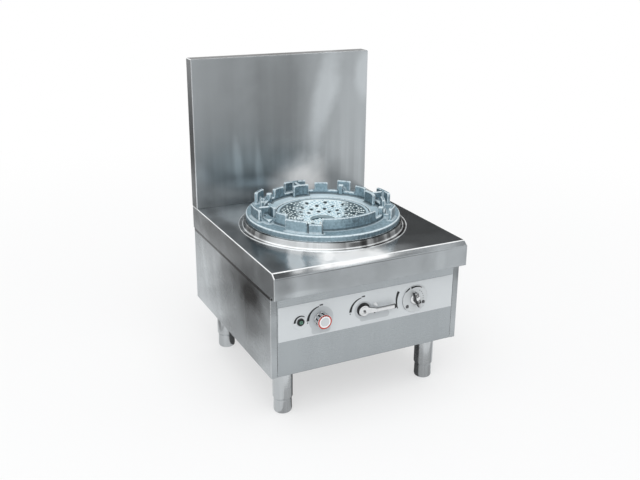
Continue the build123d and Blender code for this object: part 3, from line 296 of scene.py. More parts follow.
def spunFinish(at):
    x, y, z = millimetres(at)
    radius = reach(x, y)
    lines = noise(at.node("ShaderNodeCombineXYZ", {0: radius * 0.9, 2: z * 0.9}), 1.0, 4.0)
    cloud = noise(at, 14.0)
    spot = {0: x * radius ** (-1.0) * 6.0, 1: y * radius ** (-1.0) * 6.0}
    streak = noise(at.node("ShaderNodeCombineXYZ", spot), 1.0, 3.0)
    beadGlints = ease(abs(radius - spunLook["rim"]), 0.7, 1.8)  # painted highlight on the two rolled edges
    beadGlints = 1.0 - beadGlints * ease(abs(radius - spunLook["step"]), 0.8, 2.0)
    sweep = ease(x * (-0.66) - y * 0.75, *spunLook["sweep"])  # the side that faces the light
    broken = ease(streak + (cloud - 0.5) * 0.3, 0.40, 0.60)
    shade = 0.30 + sweep * 0.70 + (broken - 0.5) * (0.34 - sweep * 0.24) + (lines - 0.5) * 0.16 + beadGlints * 0.8
    return {
        "Base Color": tinted(spunLook["tone"], most(shade, 0.10)),
        "Metallic": most(1.0 - sweep * (0.60 + broken * 0.25) - beadGlints * (0.45 + broken * 0.35), 0.1),
        "Roughness": 0.09 + cloud * 0.10 + lines * 0.05,
        "Normal": bumped(lines, 0.10, 0.0003),
    }


ringTones = {
    "body": (0.138, 0.214, 0.260),
    "pale": (0.42, 0.580, 0.665),
    "farHighlight": (0.74, 0.87, 0.93),
    "soot": (0.030, 0.046, 0.056),
    "flank": (0.050, 0.080, 0.100),
    "scale": (0.76, 0.87, 0.92),
    "seam": (0.030, 0.050, 0.062),
}
seamShadowLook = {  # the two ends of the low sill in degrees with their depth, and where they lie, in metres
    "ends": ((-127.7, 0.96), (-116.8, 0.75)),
    "widths": (0.0020, 0.0034),
    "inner": 0.198,
    "outer": 0.216,
}


def ringSeamShadows(x, y, radius):  # painted shadow lines where the low sill meets the taller walls
    angle = x.maths("ARCTAN2", y, x)
    inner, outer = seamShadowLook["inner"], seamShadowLook["outer"]
    band = ease(radius, inner - 0.002, inner) * ease(radius, outer - 0.001, outer, 1.0, 0.0)
    shadowLines = []
    for turn, depth in seamShadowLook["ends"]:
        shadowLines.append(ease(abs((angle - radians(turn)) * radius), *seamShadowLook["widths"], depth, 0.0))
    return most(*shadowLines) * band


def ringFinish(at):
    wear = at.node("ShaderNodeAttribute", out="Fac", attribute_name="wear")
    x, y, z = parted(at)
    nx, ny, nz = normalParts(at)
    radius = reach(x, y)
    grit = noise(at, 380.0, 4.0, 0.6)
    mottle = noise(at, 130.0, 3.0, 0.6)
    cloud = noise(at, 24.0, 4.0)
    patch = noise(at, 7.0, 3.0)
    shelf = ease(radius, 0.168, 0.184, 1.0, 0.0) * ease(nz, 0.5, 0.9)
    farHighlight = ease(y * 0.88 + x * 0.47, -0.06, 0.15)  # painted highlight, palest on the far side
    # painted light on faces turned to the front-left lamp
    facing = ease(nx * (-0.63) - ny * 0.777, 0.70, 0.99, 0.0, 0.58)
    uneven = (grit - 0.5) * 0.26 + (mottle - 0.5) * 0.55 + (cloud - 0.5) * 0.25
    # paler on convex edges, as wear and painted highlight
    sheenAndWear = ease(wear + uneven, 0.58, 0.86)
    # painted shade in the hollows
    nook = ease(wear + (grit - 0.5) * 0.10, 0.11, 0.28, 0.66, 0.0)
    outside = ease(radius, 0.187, 0.191)
    # painted shade on the mouth's inner edge
    mouth = ease(radius + (grit - 0.5) * 0.001, 0.1418, 0.1436, 0.85, 0.0)
    flank = ease(radius, 0.227, 0.229) * ease(nz, 0.1, 0.4, 0.24, 0.0)  # painted shade on the flange's upright side
    # painted highlight along the flange's outer edge
    lip = ease(radius, 0.2262, 0.2282) * ease(nz, 0.10, 0.40) * (0.50 + mottle * 0.7)
    shade = 0.55 + cloud * 0.35 + patch * 0.30 + (grit - 0.5) * 0.8 + (mottle - 0.5) * 1.6
    body = tinted(ringTones["body"], shade)
    # painted light: tops, faces turned to the lamp and the inner shelf are paler
    top = ease(nz, 0.30, 0.95, 0.0, 0.36)
    light = top + facing + shelf * 0.3 + (cloud - 0.5) * 0.30 + (mottle - 0.5) * 0.75
    pale = blended(body, ringTones["pale"], light)
    pale = blended(pale, ringTones["farHighlight"], shelf * farHighlight * (0.65 + cloud * 0.35))
    aged = blended(pale, ringTones["soot"], most(nook * (1.0 - outside * 0.85), mouth))
    aged = blended(aged, ringTones["flank"], flank)
    dust = nook * outside * (0.5 + mottle * 0.5)  # pale scale gathers at the foot of the walls
    scaled = blended(aged, ringTones["scale"], most(sheenAndWear * 0.85, dust + lip))
    return {
        "Base Color": blended(scaled, ringTones["seam"], ringSeamShadows(x, y, radius)),
        "Metallic": 0.12,
        "Roughness": 0.46 + (cloud - 0.5) * 0.22 - sheenAndWear * 0.12,
        "Normal": bumped(grit + cloud * 0.6 + mottle, 0.45, 0.0009),
    }


bowlLook = {
    "radius": 129.0,
    "rim": 495.0,
    "depth": 28.0,
    "reach": 123.0,
    "bumps": 460,
    "bump": 4.6,
    "rise": 0.90,
    "placeSeed": 5,
    "sizeSeed": 7,
    "clean": (0.74, 0.89, 0.95),
    "bright": (0.88, 0.98, 1.0),
    "edge": (0.54, 0.68, 0.75),
    "soot": (0.040, 0.078, 0.098),
}
studLook = {"foot": (0.50, 0.66, 0.74), "soot": (0.036, 0.078, 0.098), "crown": (0.86, 0.98, 1.0)}
holeLook = {"radius": 5.5, "reach": 112.0, "pitch": 16.0, "rings": 4, "perRing": 12}
wellLook = {"radius": 37.5, "lip": 41.5, "depth": 8.0}
wellFloor = bowlLook["rim"] - bowlLook["depth"] - wellLook["depth"]


def holeDistance(x, y):  # how far the nearest flame hole is
    radius = reach(x, y)
    angle = x.maths("ARCTAN2", y, x)
    half = pi / holeLook["perRing"]
    nearest = 99.0
    for number in range(holeLook["rings"]):
        middle = holeLook["reach"] - holeLook["pitch"] * number
        along = x.maths("PINGPONG", angle + half * (number % 2), half) * middle
        nearest = x.maths("MINIMUM", reach(radius - middle, along), nearest)
    return nearest


def bowlShadeAndSoot(at):  # painted shade at the two sides, soot and painted shade round the holes
    x, y, z = millimetres(at)
    wobble = noise(at, 55.0, 3.0)
    across = abs(x * 0.884 - y * 0.468 + 4.0)
    sides = ease(across + (wobble - 0.5) * 50.0, 48.0, 92.0, 0.0, 0.92)
    return sides, ease(holeDistance(x, y) + (wobble - 0.5) * 4.0, 4.5, 8.5, 0.9, 0.0)


def bowlFinish(at):
    x, y, z = millimetres(at)
    radius = reach(x, y)
    cloud = noise(at, 30.0, 4.0)
    grit = noise(at, 500.0, 3.0)
    sides, holes = bowlShadeAndSoot(at)
    brim = bowlLook["radius"] - 0.5
    rim = ease(radius, brim, brim + 1.5)
    tone = blended(blended(bowlLook["clean"], bowlLook["bright"], cloud), bowlLook["edge"], rim)
    # painted shade in the crease at the rim
    crease = ease(abs(radius - brim), 0.7, 2.6, 0.9, 0.0)
    well = ease(abs(radius - wellLook["radius"]), 0.5, 1.4, 1.0, 0.0)  # painted shade on the well's wall
    well = well * ease(z, wellFloor + 3.0, wellFloor + 5.0, 0.96, 0.56)  # painted shadow, darkest at its foot
    return {
        "Base Color": blended(tone, bowlLook["soot"], most(sides * (1.0 - rim), holes, crease, well)),
        "Metallic": 0.1,
        "Roughness": 0.36 + cloud * 0.14,
        "Normal": bumped(grit + cloud, 0.25, 0.0006),
    }


def studFinish(at):
    cloud = noise(at, 60.0, 4.0)
    grit = noise(at, 500.0, 3.0)
    sides, holes = bowlShadeAndSoot(at)
    # painted light: stud tops that face up are paler
    crown = ease(normalParts(at)[2], 0.42, 0.86) * (0.80 + cloud * 0.5) * (1.0 - holes * 0.6)
    foot = blended(studLook["foot"], studLook["soot"], sides)
    return {
        "Base Color": blended(foot, studLook["crown"], crown),
        "Metallic": 0.1,
        "Roughness": 0.32 + cloud * 0.14,
        "Normal": bumped(grit, 0.2, 0.0005),
    }


def chromeFinish(at):
    cloud = noise(at, 120.0, 3.0)
    smut = ease(noise(at, 40.0, 4.0), 0.5, 0.8)
    return {
        "Base Color": tinted((0.74, 0.755, 0.765), 0.90 + cloud * 0.12 - smut * 0.12),
        "Metallic": 1.0,
        "Roughness": 0.10 + smut * 0.16 + cloud * 0.05,
        "Normal": bumped(cloud, 0.05, 0.0003),
    }


def mouldedFinish(tone, rough, grain=700.0, paleness=0.25):
    def build(at):
        grit = noise(at, grain, 2.0)
        cloud = noise(at, 35.0, 3.0)
        return {
            "Base Color": tinted(tone, 1.0 - paleness / 2 + cloud * paleness),
            "Roughness": rough + (cloud - 0.5) * 0.15,
            "Specular IOR Level": 0.3,
            "Normal": bumped(grit, 0.16, 0.0003),
        }

    return build


def metalFinish(tone, rough, scale=60.0, tarnish=(0.3, 0.3, 0.3), share=0.35):
    def build(at):
        cloud = noise(at, scale, 4.0)
        fine = noise(at, scale * 12, 3.0)
        spots = ease(cloud, 0.50, 0.78)
        return {
            "Base Color": blended(tinted(tone, 0.85 + fine * 0.3), tarnish, spots * share),
            "Metallic": 1.0,
            "Roughness": rough + spots * 0.2 + (fine - 0.5) * 0.08,
            "Normal": bumped(fine, 0.08, 0.0003),
        }

    return build


def paintFinish(tone, rough):
    def build(at):
        peel = noise(at, 260.0, 2.0)
        cloud = noise(at, 9.0, 4.0)
        return {
            "Base Color": tinted(tone, 0.86 + cloud * 0.28),
            "Roughness": rough + (cloud - 0.5) * 0.2,
            "Normal": bumped(peel, 0.15, 0.0005),
        }

    return build


labelLook = {
    "film": (0.65, 0.685, 0.705),
    "patch": (0.50, 0.53, 0.55),
    "dial": (0.62, 0.65, 0.665),
    "rounds": {"knob": 37.0, "lever": 27.0},  # radius of the grey patches behind them
    "outline": 23.0,  # radius of the line round the button
    "tabs": ((-179.0, -121.6, 255.0, 297.0, 9.0), (-30.0, 65.0, 262.5, 282.0, 8.5)),
}


def filmSurface(at, cloud):
    grit = noise(at, 900.0, 2.0)
    return {"Metallic": 0.15, "Roughness": 0.42 + cloud * 0.10, "Normal": bumped(grit, 0.06, 0.0002)}


def labelFinish(at):
    x, y, z = millimetres(at)

    def away(control):
        return reach(x - controls[control][0], z - controls[control][1])

    def tab(left, right, low, high, corner):  # a bar with round corners
        wide = most(abs(x - (left + right) / 2) - ((right - left) / 2 - corner), 0.0)
        tall = most(abs(z - (low + high) / 2) - ((high - low) / 2 - corner), 0.0)
        return ease(reach(wide, tall), corner - 0.8, corner + 0.8, 1.0, 0.0)

    patches = [tab(*sides) for sides in labelLook["tabs"]]
    for control, radius in labelLook["rounds"].items():
        patches.append(ease(away(control), radius - 0.8, radius + 0.8, 1.0, 0.0))
    grey = most(ease(abs(away("button") - labelLook["outline"]), 0.3, 1.0, 0.55, 0.0), *patches)
    cloud = noise(at, 14.0, 4.0)
    film = tinted(labelLook["film"], 0.96 + cloud * 0.08)
    shade = blended(film, labelLook["patch"], grey * (0.75 + cloud * 0.25))
    return {"Base Color": shade, **filmSurface(at, cloud)}


def dialFinish(at):
    shade = tinted(labelLook["dial"], 0.94 + noise(at, 30.0) * 0.12)
    return {"Base Color": shade, **filmSurface(at, noise(at, 14.0, 4.0))}


greenLook = {"dark": (0.030, 0.055, 0.046), "pale": (0.13, 0.33, 0.23)}


def greenFinish(at):
    x, y, z = millimetres(at)
    wide, tall = x - controls["button"][0], z - controls["button"][1]
    glow = ease(abs(wide * tall), 0.6, 3.4)  # four pale quarters round a dark cross
    glow = glow * ease(reach(wide, tall), 3.9, 5.2, 1.0, 0.0)
    return {
        "Base Color": blended(greenLook["dark"], greenLook["pale"], glow * 0.85 + noise(at, 400.0) * 0.12),
        "Roughness": 0.26 + noise(at, 300.0) * 0.1,
    }


spunSteel = material("spunSteel", spunFinish)
ringIron = material("ringIron", ringFinish)
bowlIron = material("bowlIron", bowlFinish)
studIron = material("studIron", studFinish)
chrome = material("chrome", chromeFinish)
labelFilm = material("labelFilm", labelFinish)
dialSteel = material("dialSteel", dialFinish)
buttonGreen = material("buttonGreen", greenFinish)
inkBlack = material("inkBlack", mouldedFinish((0.018, 0.020, 0.022), 0.5))
blackPlastic = material("blackPlastic", mouldedFinish((0.028, 0.029, 0.031), 0.38))
redPlastic = material("redPlastic", mouldedFinish((0.52, 0.040, 0.018), 0.34))
palePlastic = material("palePlastic", mouldedFinish((0.86, 0.88, 0.89), 0.30, 500.0, 0.06))
capPlastic = material("capPlastic", mouldedFinish((0.60, 0.625, 0.645), 0.34, 500.0, 0.10))
brass = material("brass", metalFinish((0.70, 0.54, 0.27), 0.26, 60.0, (0.28, 0.20, 0.10)))
copper = material("copper", metalFinish((0.68, 0.36, 0.23), 0.28, 45.0, (0.22, 0.13, 0.09)))
pipeBlack = material("pipeBlack", paintFinish((0.055, 0.055, 0.058), 0.45))
greyPaint = material("greyPaint", paintFinish((0.36, 0.37, 0.38), 0.48))
glazed = material("glazed", mouldedFinish((0.82, 0.81, 0.77), 0.18, 200.0, 0.10))
leadRubber = material("leadRubber", mouldedFinish((0.035, 0.035, 0.036), 0.55))
darkSteel = material("darkSteel", metalFinish((0.16, 0.165, 0.17), 0.34, 300.0))
print("materials made")


# building helpers
def linked(mesh, name):
    obj = bpy.data.objects.new(name, mesh)
    scene.collection.objects.link(obj)
    return obj


def smoothed(mesh, angle=35):
    mesh.shade_smooth()
    mesh.set_sharp_from_angle(angle=radians(angle))


def settled(obj, body, slot, *replaced):  # rides on its body and stands for its nodes
    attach(obj, body)
    if replaced:
        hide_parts(*replaced)
    return obj


def meshFrom(bm, name):
    mesh = bpy.data.meshes.new(name)
    bm.to_mesh(mesh)
    bm.free()
    return mesh


def fromBmesh(bm, name, finishes, angle=35):
    bmesh.ops.remove_doubles(bm, verts=bm.verts, dist=1e-6)
    bmesh.ops.recalc_face_normals(bm, faces=bm.faces)
    mesh = meshFrom(bm, name)
    for finish in finishes:
        mesh.materials.append(finish)
    smoothed(mesh, angle)
    return linked(mesh, name)


def mergedCopy(node):  # a solid's shape with its loose triangles joined
    bm = bmesh.new()
    bm.from_mesh(nodes[node].data)
    bmesh.ops.remove_doubles(bm, verts=bm.verts, dist=2e-6)
    return bm


def baked(obj, angle=35):  # modifiers become plain mesh
    mesh = bpy.data.meshes.new_from_object(obj.evaluated_get(bpy.context.evaluated_depsgraph_get()))
    obj.modifiers.clear()
    obj.data = mesh
    if angle:
        smoothed(mesh, angle)
    return obj


def rounded(points, radius, steps=4):  # a profile with its inner corners rounded off
    made = [points[0]]
    for before, corner, after in zip(points, points[1:], points[2:]):
        corner = Vector(corner)
        back, onward = Vector(before) - corner, Vector(after) - corner
        cut = min(radius, back.length * 0.45, onward.length * 0.45)
        first, last = corner + back.normalized() * cut, corner + onward.normalized() * cut
        for step in range(steps + 1):
            share = step / steps
            bend = first * (1 - share) ** 2 + corner * 2 * share * (1 - share) + last * share * share
            made.append(tuple(bend))
    return made + [points[-1]]


def spun(bm, profile, steps, place, finish=0, wave=None):
    # profile of (radius, height); place turns radius, angle and height into a point
    rings = []
    for radius, height in profile:
        if radius < 1e-6:
            rings.append([bm.verts.new(place(0.0, 0.0, height))])
            continue
        ring = []
        for step in range(steps):
            angle = 2 * pi * step / steps
            swept = radius - (wave(angle, height) if wave else 0.0)
            ring.append(bm.verts.new(place(swept, angle, height)))
        rings.append(ring)
    for low, high in zip(rings, rings[1:]):
        for step in range(steps):
            spots = ((low, step), (low, step + 1), (high, step + 1), (high, step))
            corners = list(dict.fromkeys(ring[number % len(ring)] for ring, number in spots))
            if len(corners) > 2:
                bm.faces.new(corners).material_index = finish


def turned(name, finishes, place, *runs, angle=35):  # runs of profile, steps and finish
    bm = bmesh.new()
    for profile, steps, finish in runs:
        spun(bm, profile, steps, place, finish)
    return fromBmesh(bm, name, finishes, angle)


def bridged(bm, rings, sides, end):  # quads between open rings of points, with both ends closed
    count = len(sides)
    for low, high in zip(rings, rings[1:]):
        for step, finish in enumerate(sides):
            after = (step + 1) % count
            bm.faces.new((low[step], low[after], high[after], high[step])).material_index = finish
    bm.faces.new(rings[0]).material_index = end
    bm.faces.new(rings[-1]).material_index = end


def upright(x, y, floor=0.0):  # heights above a level
    def place(radius, angle, height):
        return Vector((x + radius * cos(angle), y + radius * sin(angle), floor + height)) * mm

    return place


def fromPanel(x, out, z):
    return Vector((x, panelFront - out, z)) * mm


def outward(x, z):  # heights out of the front panel
    def place(radius, angle, height):
        return fromPanel(x + radius * cos(angle), height, z + radius * sin(angle))

    return place


def panelAxes(turn):  # along and across a direction on the front panel
    angle = radians(turn)
    return Vector((cos(angle), 0, sin(angle))), Vector((-sin(angle), 0, cos(angle)))


def block(bm, control, turn, shift, halves, outs, finish):
    # on a control, with its shift and its half sizes along and across the turn
    along, across = panelAxes(turn)
    x, z = controls[control]
    middle = Vector((x, panelFront, z)) + along * shift[0] + across * shift[1]
    verts = []
    for out in outs:
        for first, second in square:
            spot = middle + along * first * halves[0] + across * second * halves[1]
            verts.append(bm.verts.new((spot - Vector((0, out, 0))) * mm))
    bridged(bm, [verts[:4], verts[4:]], [finish] * 4, finish)


def roomBeside(face, edge):  # how wide a face is across the middle of one of its edges
    start, end = [vert.co for vert in edge.verts]
    along = (end - start).normalized()
    across = face.normal.cross(along)
    room = 1.0
    for other in face.edges:
        steps = [vert.co - (start + end) / 2 for vert in other.verts]
        before, after = [step.dot(along) for step in steps]
        if other != edge and before * after <= 0 and before != after:
            share = before / (before - after)
            room = min(room, abs((steps[0] * (1 - share) + steps[1] * share).dot(across)))
    return room


def sheetCopy(name, node, finish, width, edgeWearAndShine, slot="stainless"):
    # a folded sheet with its bends rounded, and its cut edges less so
    bm = mergedCopy(node)
    bmesh.ops.dissolve_limit(bm, angle_limit=radians(0.5), verts=bm.verts, edges=bm.edges)
    weight = bm.edges.layers.float.new("bevel_weight_edge")
    for edge in bm.edges:
        if len(edge.link_faces) == 2 and edge.calc_face_angle() > radians(30):
            room = min(roomBeside(face, edge) for face in edge.link_faces)
            edge[weight] = min(1.0, room * 0.3 / (width * mm))
    mesh = meshFrom(bm, name)
    mesh.materials.append(finish)
    mesh.materials.append(edgeWearAndShine)
    smoothed(mesh)
    obj = linked(mesh, name)
    bevel = obj.modifiers.new("bevel", "BEVEL")
    bevel.material = 1
    bevel.width = width * mm
    bevel.segments = 3
    bevel.limit_method = "WEIGHT"
    bevel.use_clamp_overlap = False
    even = obj.modifiers.new("even", "WEIGHTED_NORMAL")
    even.weight = 100
    even.keep_sharp = True
    baked(obj, None)
    for face in obj.data.polygons:  # the painted edge highlight is left off edges that face down or straight ahead
        if face.normal.z < -0.1 or face.normal.y < -0.60:
            face.material_index = 0
    return settled(obj, "cabinet", slot, node)


# cabinet and splashback sheets, with the width of their rounded edges in millimetres
sheetEdges = {
    "deck": (deckSteel, 2.4),
    "splashback_skin": (splashSteel, 2.2),
    "splashback_cover": (panelSteel, 0.5),
    "left_side_panel": (sideSteel, 1.4),
    "right_side_panel": (sideSteel, 1.4),
    "front_panel": (panelSteel, 0.6),
    "rear_panel": (panelSteel, 0.5),
    "bottom_tray": (panelSteel, 0.7),
}
for node, (finish, width) in sheetEdges.items():
    parts = node.split("_")
    sheetName = parts[0] + "".join(part.title() for part in parts[1:]) + "Sheet"
    sheetCopy(sheetName, node, finish, width, edgeShineSteel)
sheetCopy("controlLabelFilm", "control_label", labelFilm, 0.2, labelFilm, "label_film")
print("sheets made")


# legs and feet
tubeLook = {"radius": 28.5, "top": 147.0, "end": 47.0, "bush": 10.3}
footLook = {"radius": 26.3, "neck": 25.6, "top": 46.7, "spindle": 10.0, "spindleTop": 110.7}
legSteps = 72
radius, top, end, bush = tubeLook.values()
tube = [(0.0, top), (radius - 0.4, top), (radius, top - 1.0), (radius, end + 5.0)]
tube += rounded([(radius, end + 5.0), (radius, end + 1.6), (radius - 2.2, end), (bush, end)], 1.2)
tube += [(bush, end + 18), (0.0, end + 18)]
stud = rounded([(0, 169), (6, 169), (6, 146.5), (0, 146.5)], 0.6)  # goes into the tray
radius, neck, top, spindle, spindleTop = footLook.values()
foot = [(0, 2.0), (14.0, 2.0), (17.0, 0.0), (21.5, 0.0), (25.0, 3.2), (radius, 8.5), (26.0, 22.0)]
foot = rounded(foot, 1.6)
foot += rounded([(25.7, top - 9.0), (neck, top - 4.2), (24.7, top - 3.6)], 0.4)
foot += rounded([(24.7, top - 2.8), (neck, top - 2.2), (neck, top), (spindle, top)], 0.5)
foot += rounded([(spindle, top + 1), (spindle, spindleTop), (0.0, spindleTop)], 1.0)
for corner in ("front_left", "front_right", "rear_left", "rear_right"):
    low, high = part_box("leg_" + corner)
    stand = upright(*[(low[axis] + high[axis]) / 2 / mm for axis in range(2)])
    leg = turned("legTube." + corner, [legSteel], stand, (tube, legSteps, 0), (stud, 24, 0))
    settled(leg, "cabinet", "stainless", "leg_" + corner)
    screwFoot = turned("screwFoot." + corner, [legSteel], stand, (foot, legSteps, 0))
    settled(screwFoot, "foot_" + corner, "stainless", "foot_" + corner)
print("legs made")


# spun collar under the pot ring, with heights above the deck
collarLook = {"deck": 460.0, "steps": 180}
collar = rounded([(252.3, 0), (252.5, 1.0), (251.6, 1.9), (249.8, 1.5)], 0.6)
collar += rounded([(248.5, 1.1), (242.4, 1.5), (241.2, 3.4), (239.4, 3.0), (238.0, 7.0)], 0.9)
collar += rounded([(237.6, 9.0), (236.0, 16.5), (234.4, 18.9), (228.0, 18.9)], 1.6)
collar += rounded([(226.0, 18.9), (198.1, 18.9), (198.1, -12), (199.4, -12), (199.4, 17.4)], 0.5)
collar += [(232.0, 17.4), (236.4, 7.0), (239.0, 0.8), (247.0, 0.05), (252.3, 0)]
seat = upright(0, 0, collarLook["deck"])
collar = turned("spunCollar", [spunSteel], seat, (collar, collarLook["steps"], 0), angle=40)
settled(collar, "cabinet", "polished_steel", "burner_collar")
print("collar made")


# cast pot ring: the solid's shape with cast roundings, and the convexity of its edges kept as an attribute
# for wear, painted highlights and painted shade
ringLook = {"voxel": 2.1, "smoothing": 5, "convexitySpread": 3, "convexityGain": 5.5, "convexityBase": 0.3}
ring = linked(meshFrom(mergedCopy("pot_ring"), "castRing"), "castRing")
skin = ring.modifiers.new("skin", "REMESH")
skin.mode = "VOXEL"
skin.voxel_size = ringLook["voxel"] * mm
soften = ring.modifiers.new("soften", "SMOOTH")
soften.factor = 0.5
soften.iterations = ringLook["smoothing"]
baked(ring, 180)
ring.data.materials.clear()
ring.data.materials.append(ringIron)


def readAll(items, field, width, kind=float):
    values = np.empty(len(items) * width, kind)
    items.foreach_get(field, values)
    return values.reshape(-1, width)


ringSpots = readAll(ring.data.vertices, "co", 3)
ringNormals = readAll(ring.data.vertices, "normal", 3)
ringPairs = readAll(ring.data.edges, "vertices", 2, int).T


def neighbourMean(measure):  # each point's mean of a measure over its neighbours
    total, hits = np.zeros(len(ringSpots)), np.zeros(len(ringSpots))
    for here, there in (ringPairs, ringPairs[::-1]):
        np.add.at(total, here, measure(here, there))
        np.add.at(hits, here, 1)
    return total / np.maximum(hits, 1)


def standing(here, there):  # how far a point stands above its neighbour
    step = ringSpots[here] - ringSpots[there]
    return (step * ringNormals[here]).sum(1) / np.maximum(np.linalg.norm(step, axis=1), 1e-9)


bulge = neighbourMean(standing)
for repeat in range(ringLook["convexitySpread"]):
    bulge = (bulge + neighbourMean(lambda here, there: bulge[there])) / 2
edgeWearAndShine = np.clip(bulge * ringLook["convexityGain"] + ringLook["convexityBase"], 0, 1).astype(np.float32)
ring.data.attributes.new("wear", "FLOAT", "POINT").data.foreach_set("value", edgeWearAndShine)
settled(ring, "pot_ring", "ring_iron", "pot_ring")
print("pot ring made", len(ring.data.polygons))


# geometry node trees
class Grove(Wire):  # a tree of geometry nodes with named inputs, planted on points
    def __init__(self, name, inputs):
        super().__init__(bpy.data.node_groups.new(name, "GeometryNodeTree"))
        interface = self.tree.interface
        for label, kind in {"Geometry": "Geometry", **inputs}.items():
            interface.new_socket(label, in_out="INPUT", socket_type="NodeSocket" + kind)
        interface.new_socket("Geometry", in_out="OUTPUT", socket_type="NodeSocketGeometry")
        start = self.tree.nodes.new("NodeGroupInput")
        self.start = {socket.name: Wire(self.tree, socket) for socket in start.outputs}

    def coloured(self, geometry, finish):
        return self.node("GeometryNodeSetMaterial", {"Geometry": geometry, "Material": finish})

    def planted(self, shape, scale=(1.0, 1.0, 1.0)):  # the shape on every point, turned as the point faces
        named = {"Name": "facing"}
        facing = self.node("GeometryNodeInputNamedAttribute", named, data_type="FLOAT_VECTOR")
        turn = self.node("FunctionNodeAlignRotationToVector", {"Vector": facing}, axis="Z")
        sockets = {"Points": self.start["Geometry"], "Instance": shape, "Rotation": turn, "Scale": scale}
        return self.node("GeometryNodeInstanceOnPoints", sockets)

    def close(self, geometry, finish=None):
        whole = self.node("GeometryNodeRealizeInstances", {0: geometry})
        self.node("NodeGroupOutput", {0: self.coloured(whole, finish) if finish else whole})

    def grown(self, obj, values, angle=35):  # inputs are set by identifier, then the result is kept as mesh
        grow = obj.modifiers.new("grow", "NODES")
        grow.node_group = self.tree
        for item in self.tree.interface.items_tree:
            if item.in_out == "INPUT" and item.name in values:
                grow[item.identifier] = values[item.name]
        return baked(obj, angle)


def pointMesh(name, places, directions):
    mesh = bpy.data.meshes.new(name)
    mesh.from_pydata([Vector(place) for place in places], [], [])
    facing = mesh.attributes.new("facing", "FLOAT_VECTOR", "POINT")
    facing.data.foreach_set("vector", np.array(directions, np.float32).ravel())
    return linked(mesh, name)


# burner bowl with its cast bumps
dishRadius = (bowlLook["radius"] ** 2 + bowlLook["depth"] ** 2) / (2 * bowlLook["depth"])
dishCentre = bowlLook["rim"] - bowlLook["depth"] + dishRadius
holes = [(0.0, 0.0), (-62.2, -62.2), (-46.7, -77.8)]  # the last two hold the pilot and the spark rod
for number in range(holeLook["rings"]):
    radius = holeLook["reach"] - holeLook["pitch"] * number
    for step in range(holeLook["perRing"]):
        angle = (step + number % 2 / 2) * 2 * pi / holeLook["perRing"]
        holes.append((radius * cos(angle), radius * sin(angle)))
chance = Random(bowlLook["placeSeed"])
places, directions = [], []
for number in range(1, bowlLook["bumps"]):
    radius = sqrt(number / bowlLook["bumps"]) * bowlLook["reach"] + chance.uniform(-0.6, 0.6)
    angle = number * radians(137.508) + chance.uniform(-0.5, 0.5) / radius
    x, y = radius * cos(angle), radius * sin(angle)
    if wellLook["radius"] - 3.0 < radius < wellLook["lip"] + 2.5:
        continue
    nearest = min(hypot(x - holeX, y - holeY) for holeX, holeY in holes)
    if nearest < holeLook["radius"] + bowlLook["bump"] * 0.6:
        continue
    z = wellFloor if radius < wellLook["radius"] else dishCentre - sqrt(dishRadius**2 - radius**2)
    places.append((x * mm, y * mm, z * mm))
    directions.append((-x, -y, dishCentre - z))
bumps = pointMesh("bowlBumps", places, directions)
grove = Grove("bumpGrove", {"Size": "Float", "Rise": "Float", "Seed": "Int"})
ball = grove.node("GeometryNodeMeshUVSphere", {"Radius": grove.start["Size"], "Segments": 7, "Rings": 5})
flat = grove.node("ShaderNodeCombineXYZ", {0: 1.0, 1: 1.0, 2: grove.start["Rise"]})
ball = grove.node("GeometryNodeTransform", {"Geometry": ball, "Scale": flat})
sizes = {2: 0.78, 3: 1.18, "Seed": grove.start["Seed"]}
vary = grove.node("FunctionNodeRandomValue", sizes, 1, data_type="FLOAT")
grove.close(grove.planted(ball, vary), studIron)
sizes = {"Size": bowlLook["bump"] * mm, "Rise": bowlLook["rise"], "Seed": bowlLook["sizeSeed"]}
grove.grown(bumps, sizes, 60)
settled(bumps, "cabinet", "bowl_iron")
sheetCopy("burnerDish", "burner_bowl", bowlIron, 0.6, bowlIron, "bowl_iron")
print("bowl made with", len(places), "bumps")


# ignition button
buttonLook = {"bezel": 10.6, "face": 0.6, "front": 3.6, "bore": 6.3, "button": 6.0, "stand": 6.0}
rim, face, front, bore, wide, stand = buttonLook.values()
buttonPlace = outward(*controls["button"])
bezel = rounded([(0, -23.4), (8.0, -23.4), (8.0, face), (rim, face), (rim, front - 0.3)], 0.3)
bezel += rounded([(rim, front - 0.2), (rim - 1.4, front), (bore + 1.4, front - 0.2)], 0.8)
bezel += [(bore + 0.7, front - 1.1), (bore, front - 1.6), (bore, -19.4), (0, -19.4)]
bezel = turned("buttonBezel", [blackPlastic], buttonPlace, (bezel, 56, 0))
settled(bezel, "cabinet", "black_plastic", "button_bezel")
cap = rounded([(0, -15), (wide, -15), (wide, stand - 1.3), (wide - 1.0, stand)], 0.8)
cap += [(4.0, stand - 0.35), (2.2, stand - 0.8), (0, stand - 0.95)]
cap = turned("sparkButton", [buttonGreen], buttonPlace, (cap, 48, 0))
settled(cap, "ignition_button", "button_plastic", "ignition_button")
print("ignition button made")


# pilot regulator knob: a scalloped grip with a red ring and a pale cap
knobLook = {
    "base": 2.2,
    "front": 24.2,
    "grip": 21.2,
    "lobes": 10,
    "scallop": 2.9,
    "marks": (62, 84, 106, 128),
}
knobPlace = outward(*controls["knob"])
base, front, wide = [knobLook[key] for key in ("base", "front", "grip")]


def scallops(angle, height):  # how deep the valleys between the lobes are
    rise = min(max((height - knobLook["base"] - 2.6) / 2.2, 0.0), 1.0)
    fall = min(max((knobLook["front"] - 1.6 - height) / 1.6, 0.0), 1.0)
    return knobLook["scallop"] * rise * fall * (0.5 - 0.5 * cos(knobLook["lobes"] * angle)) ** 1.6


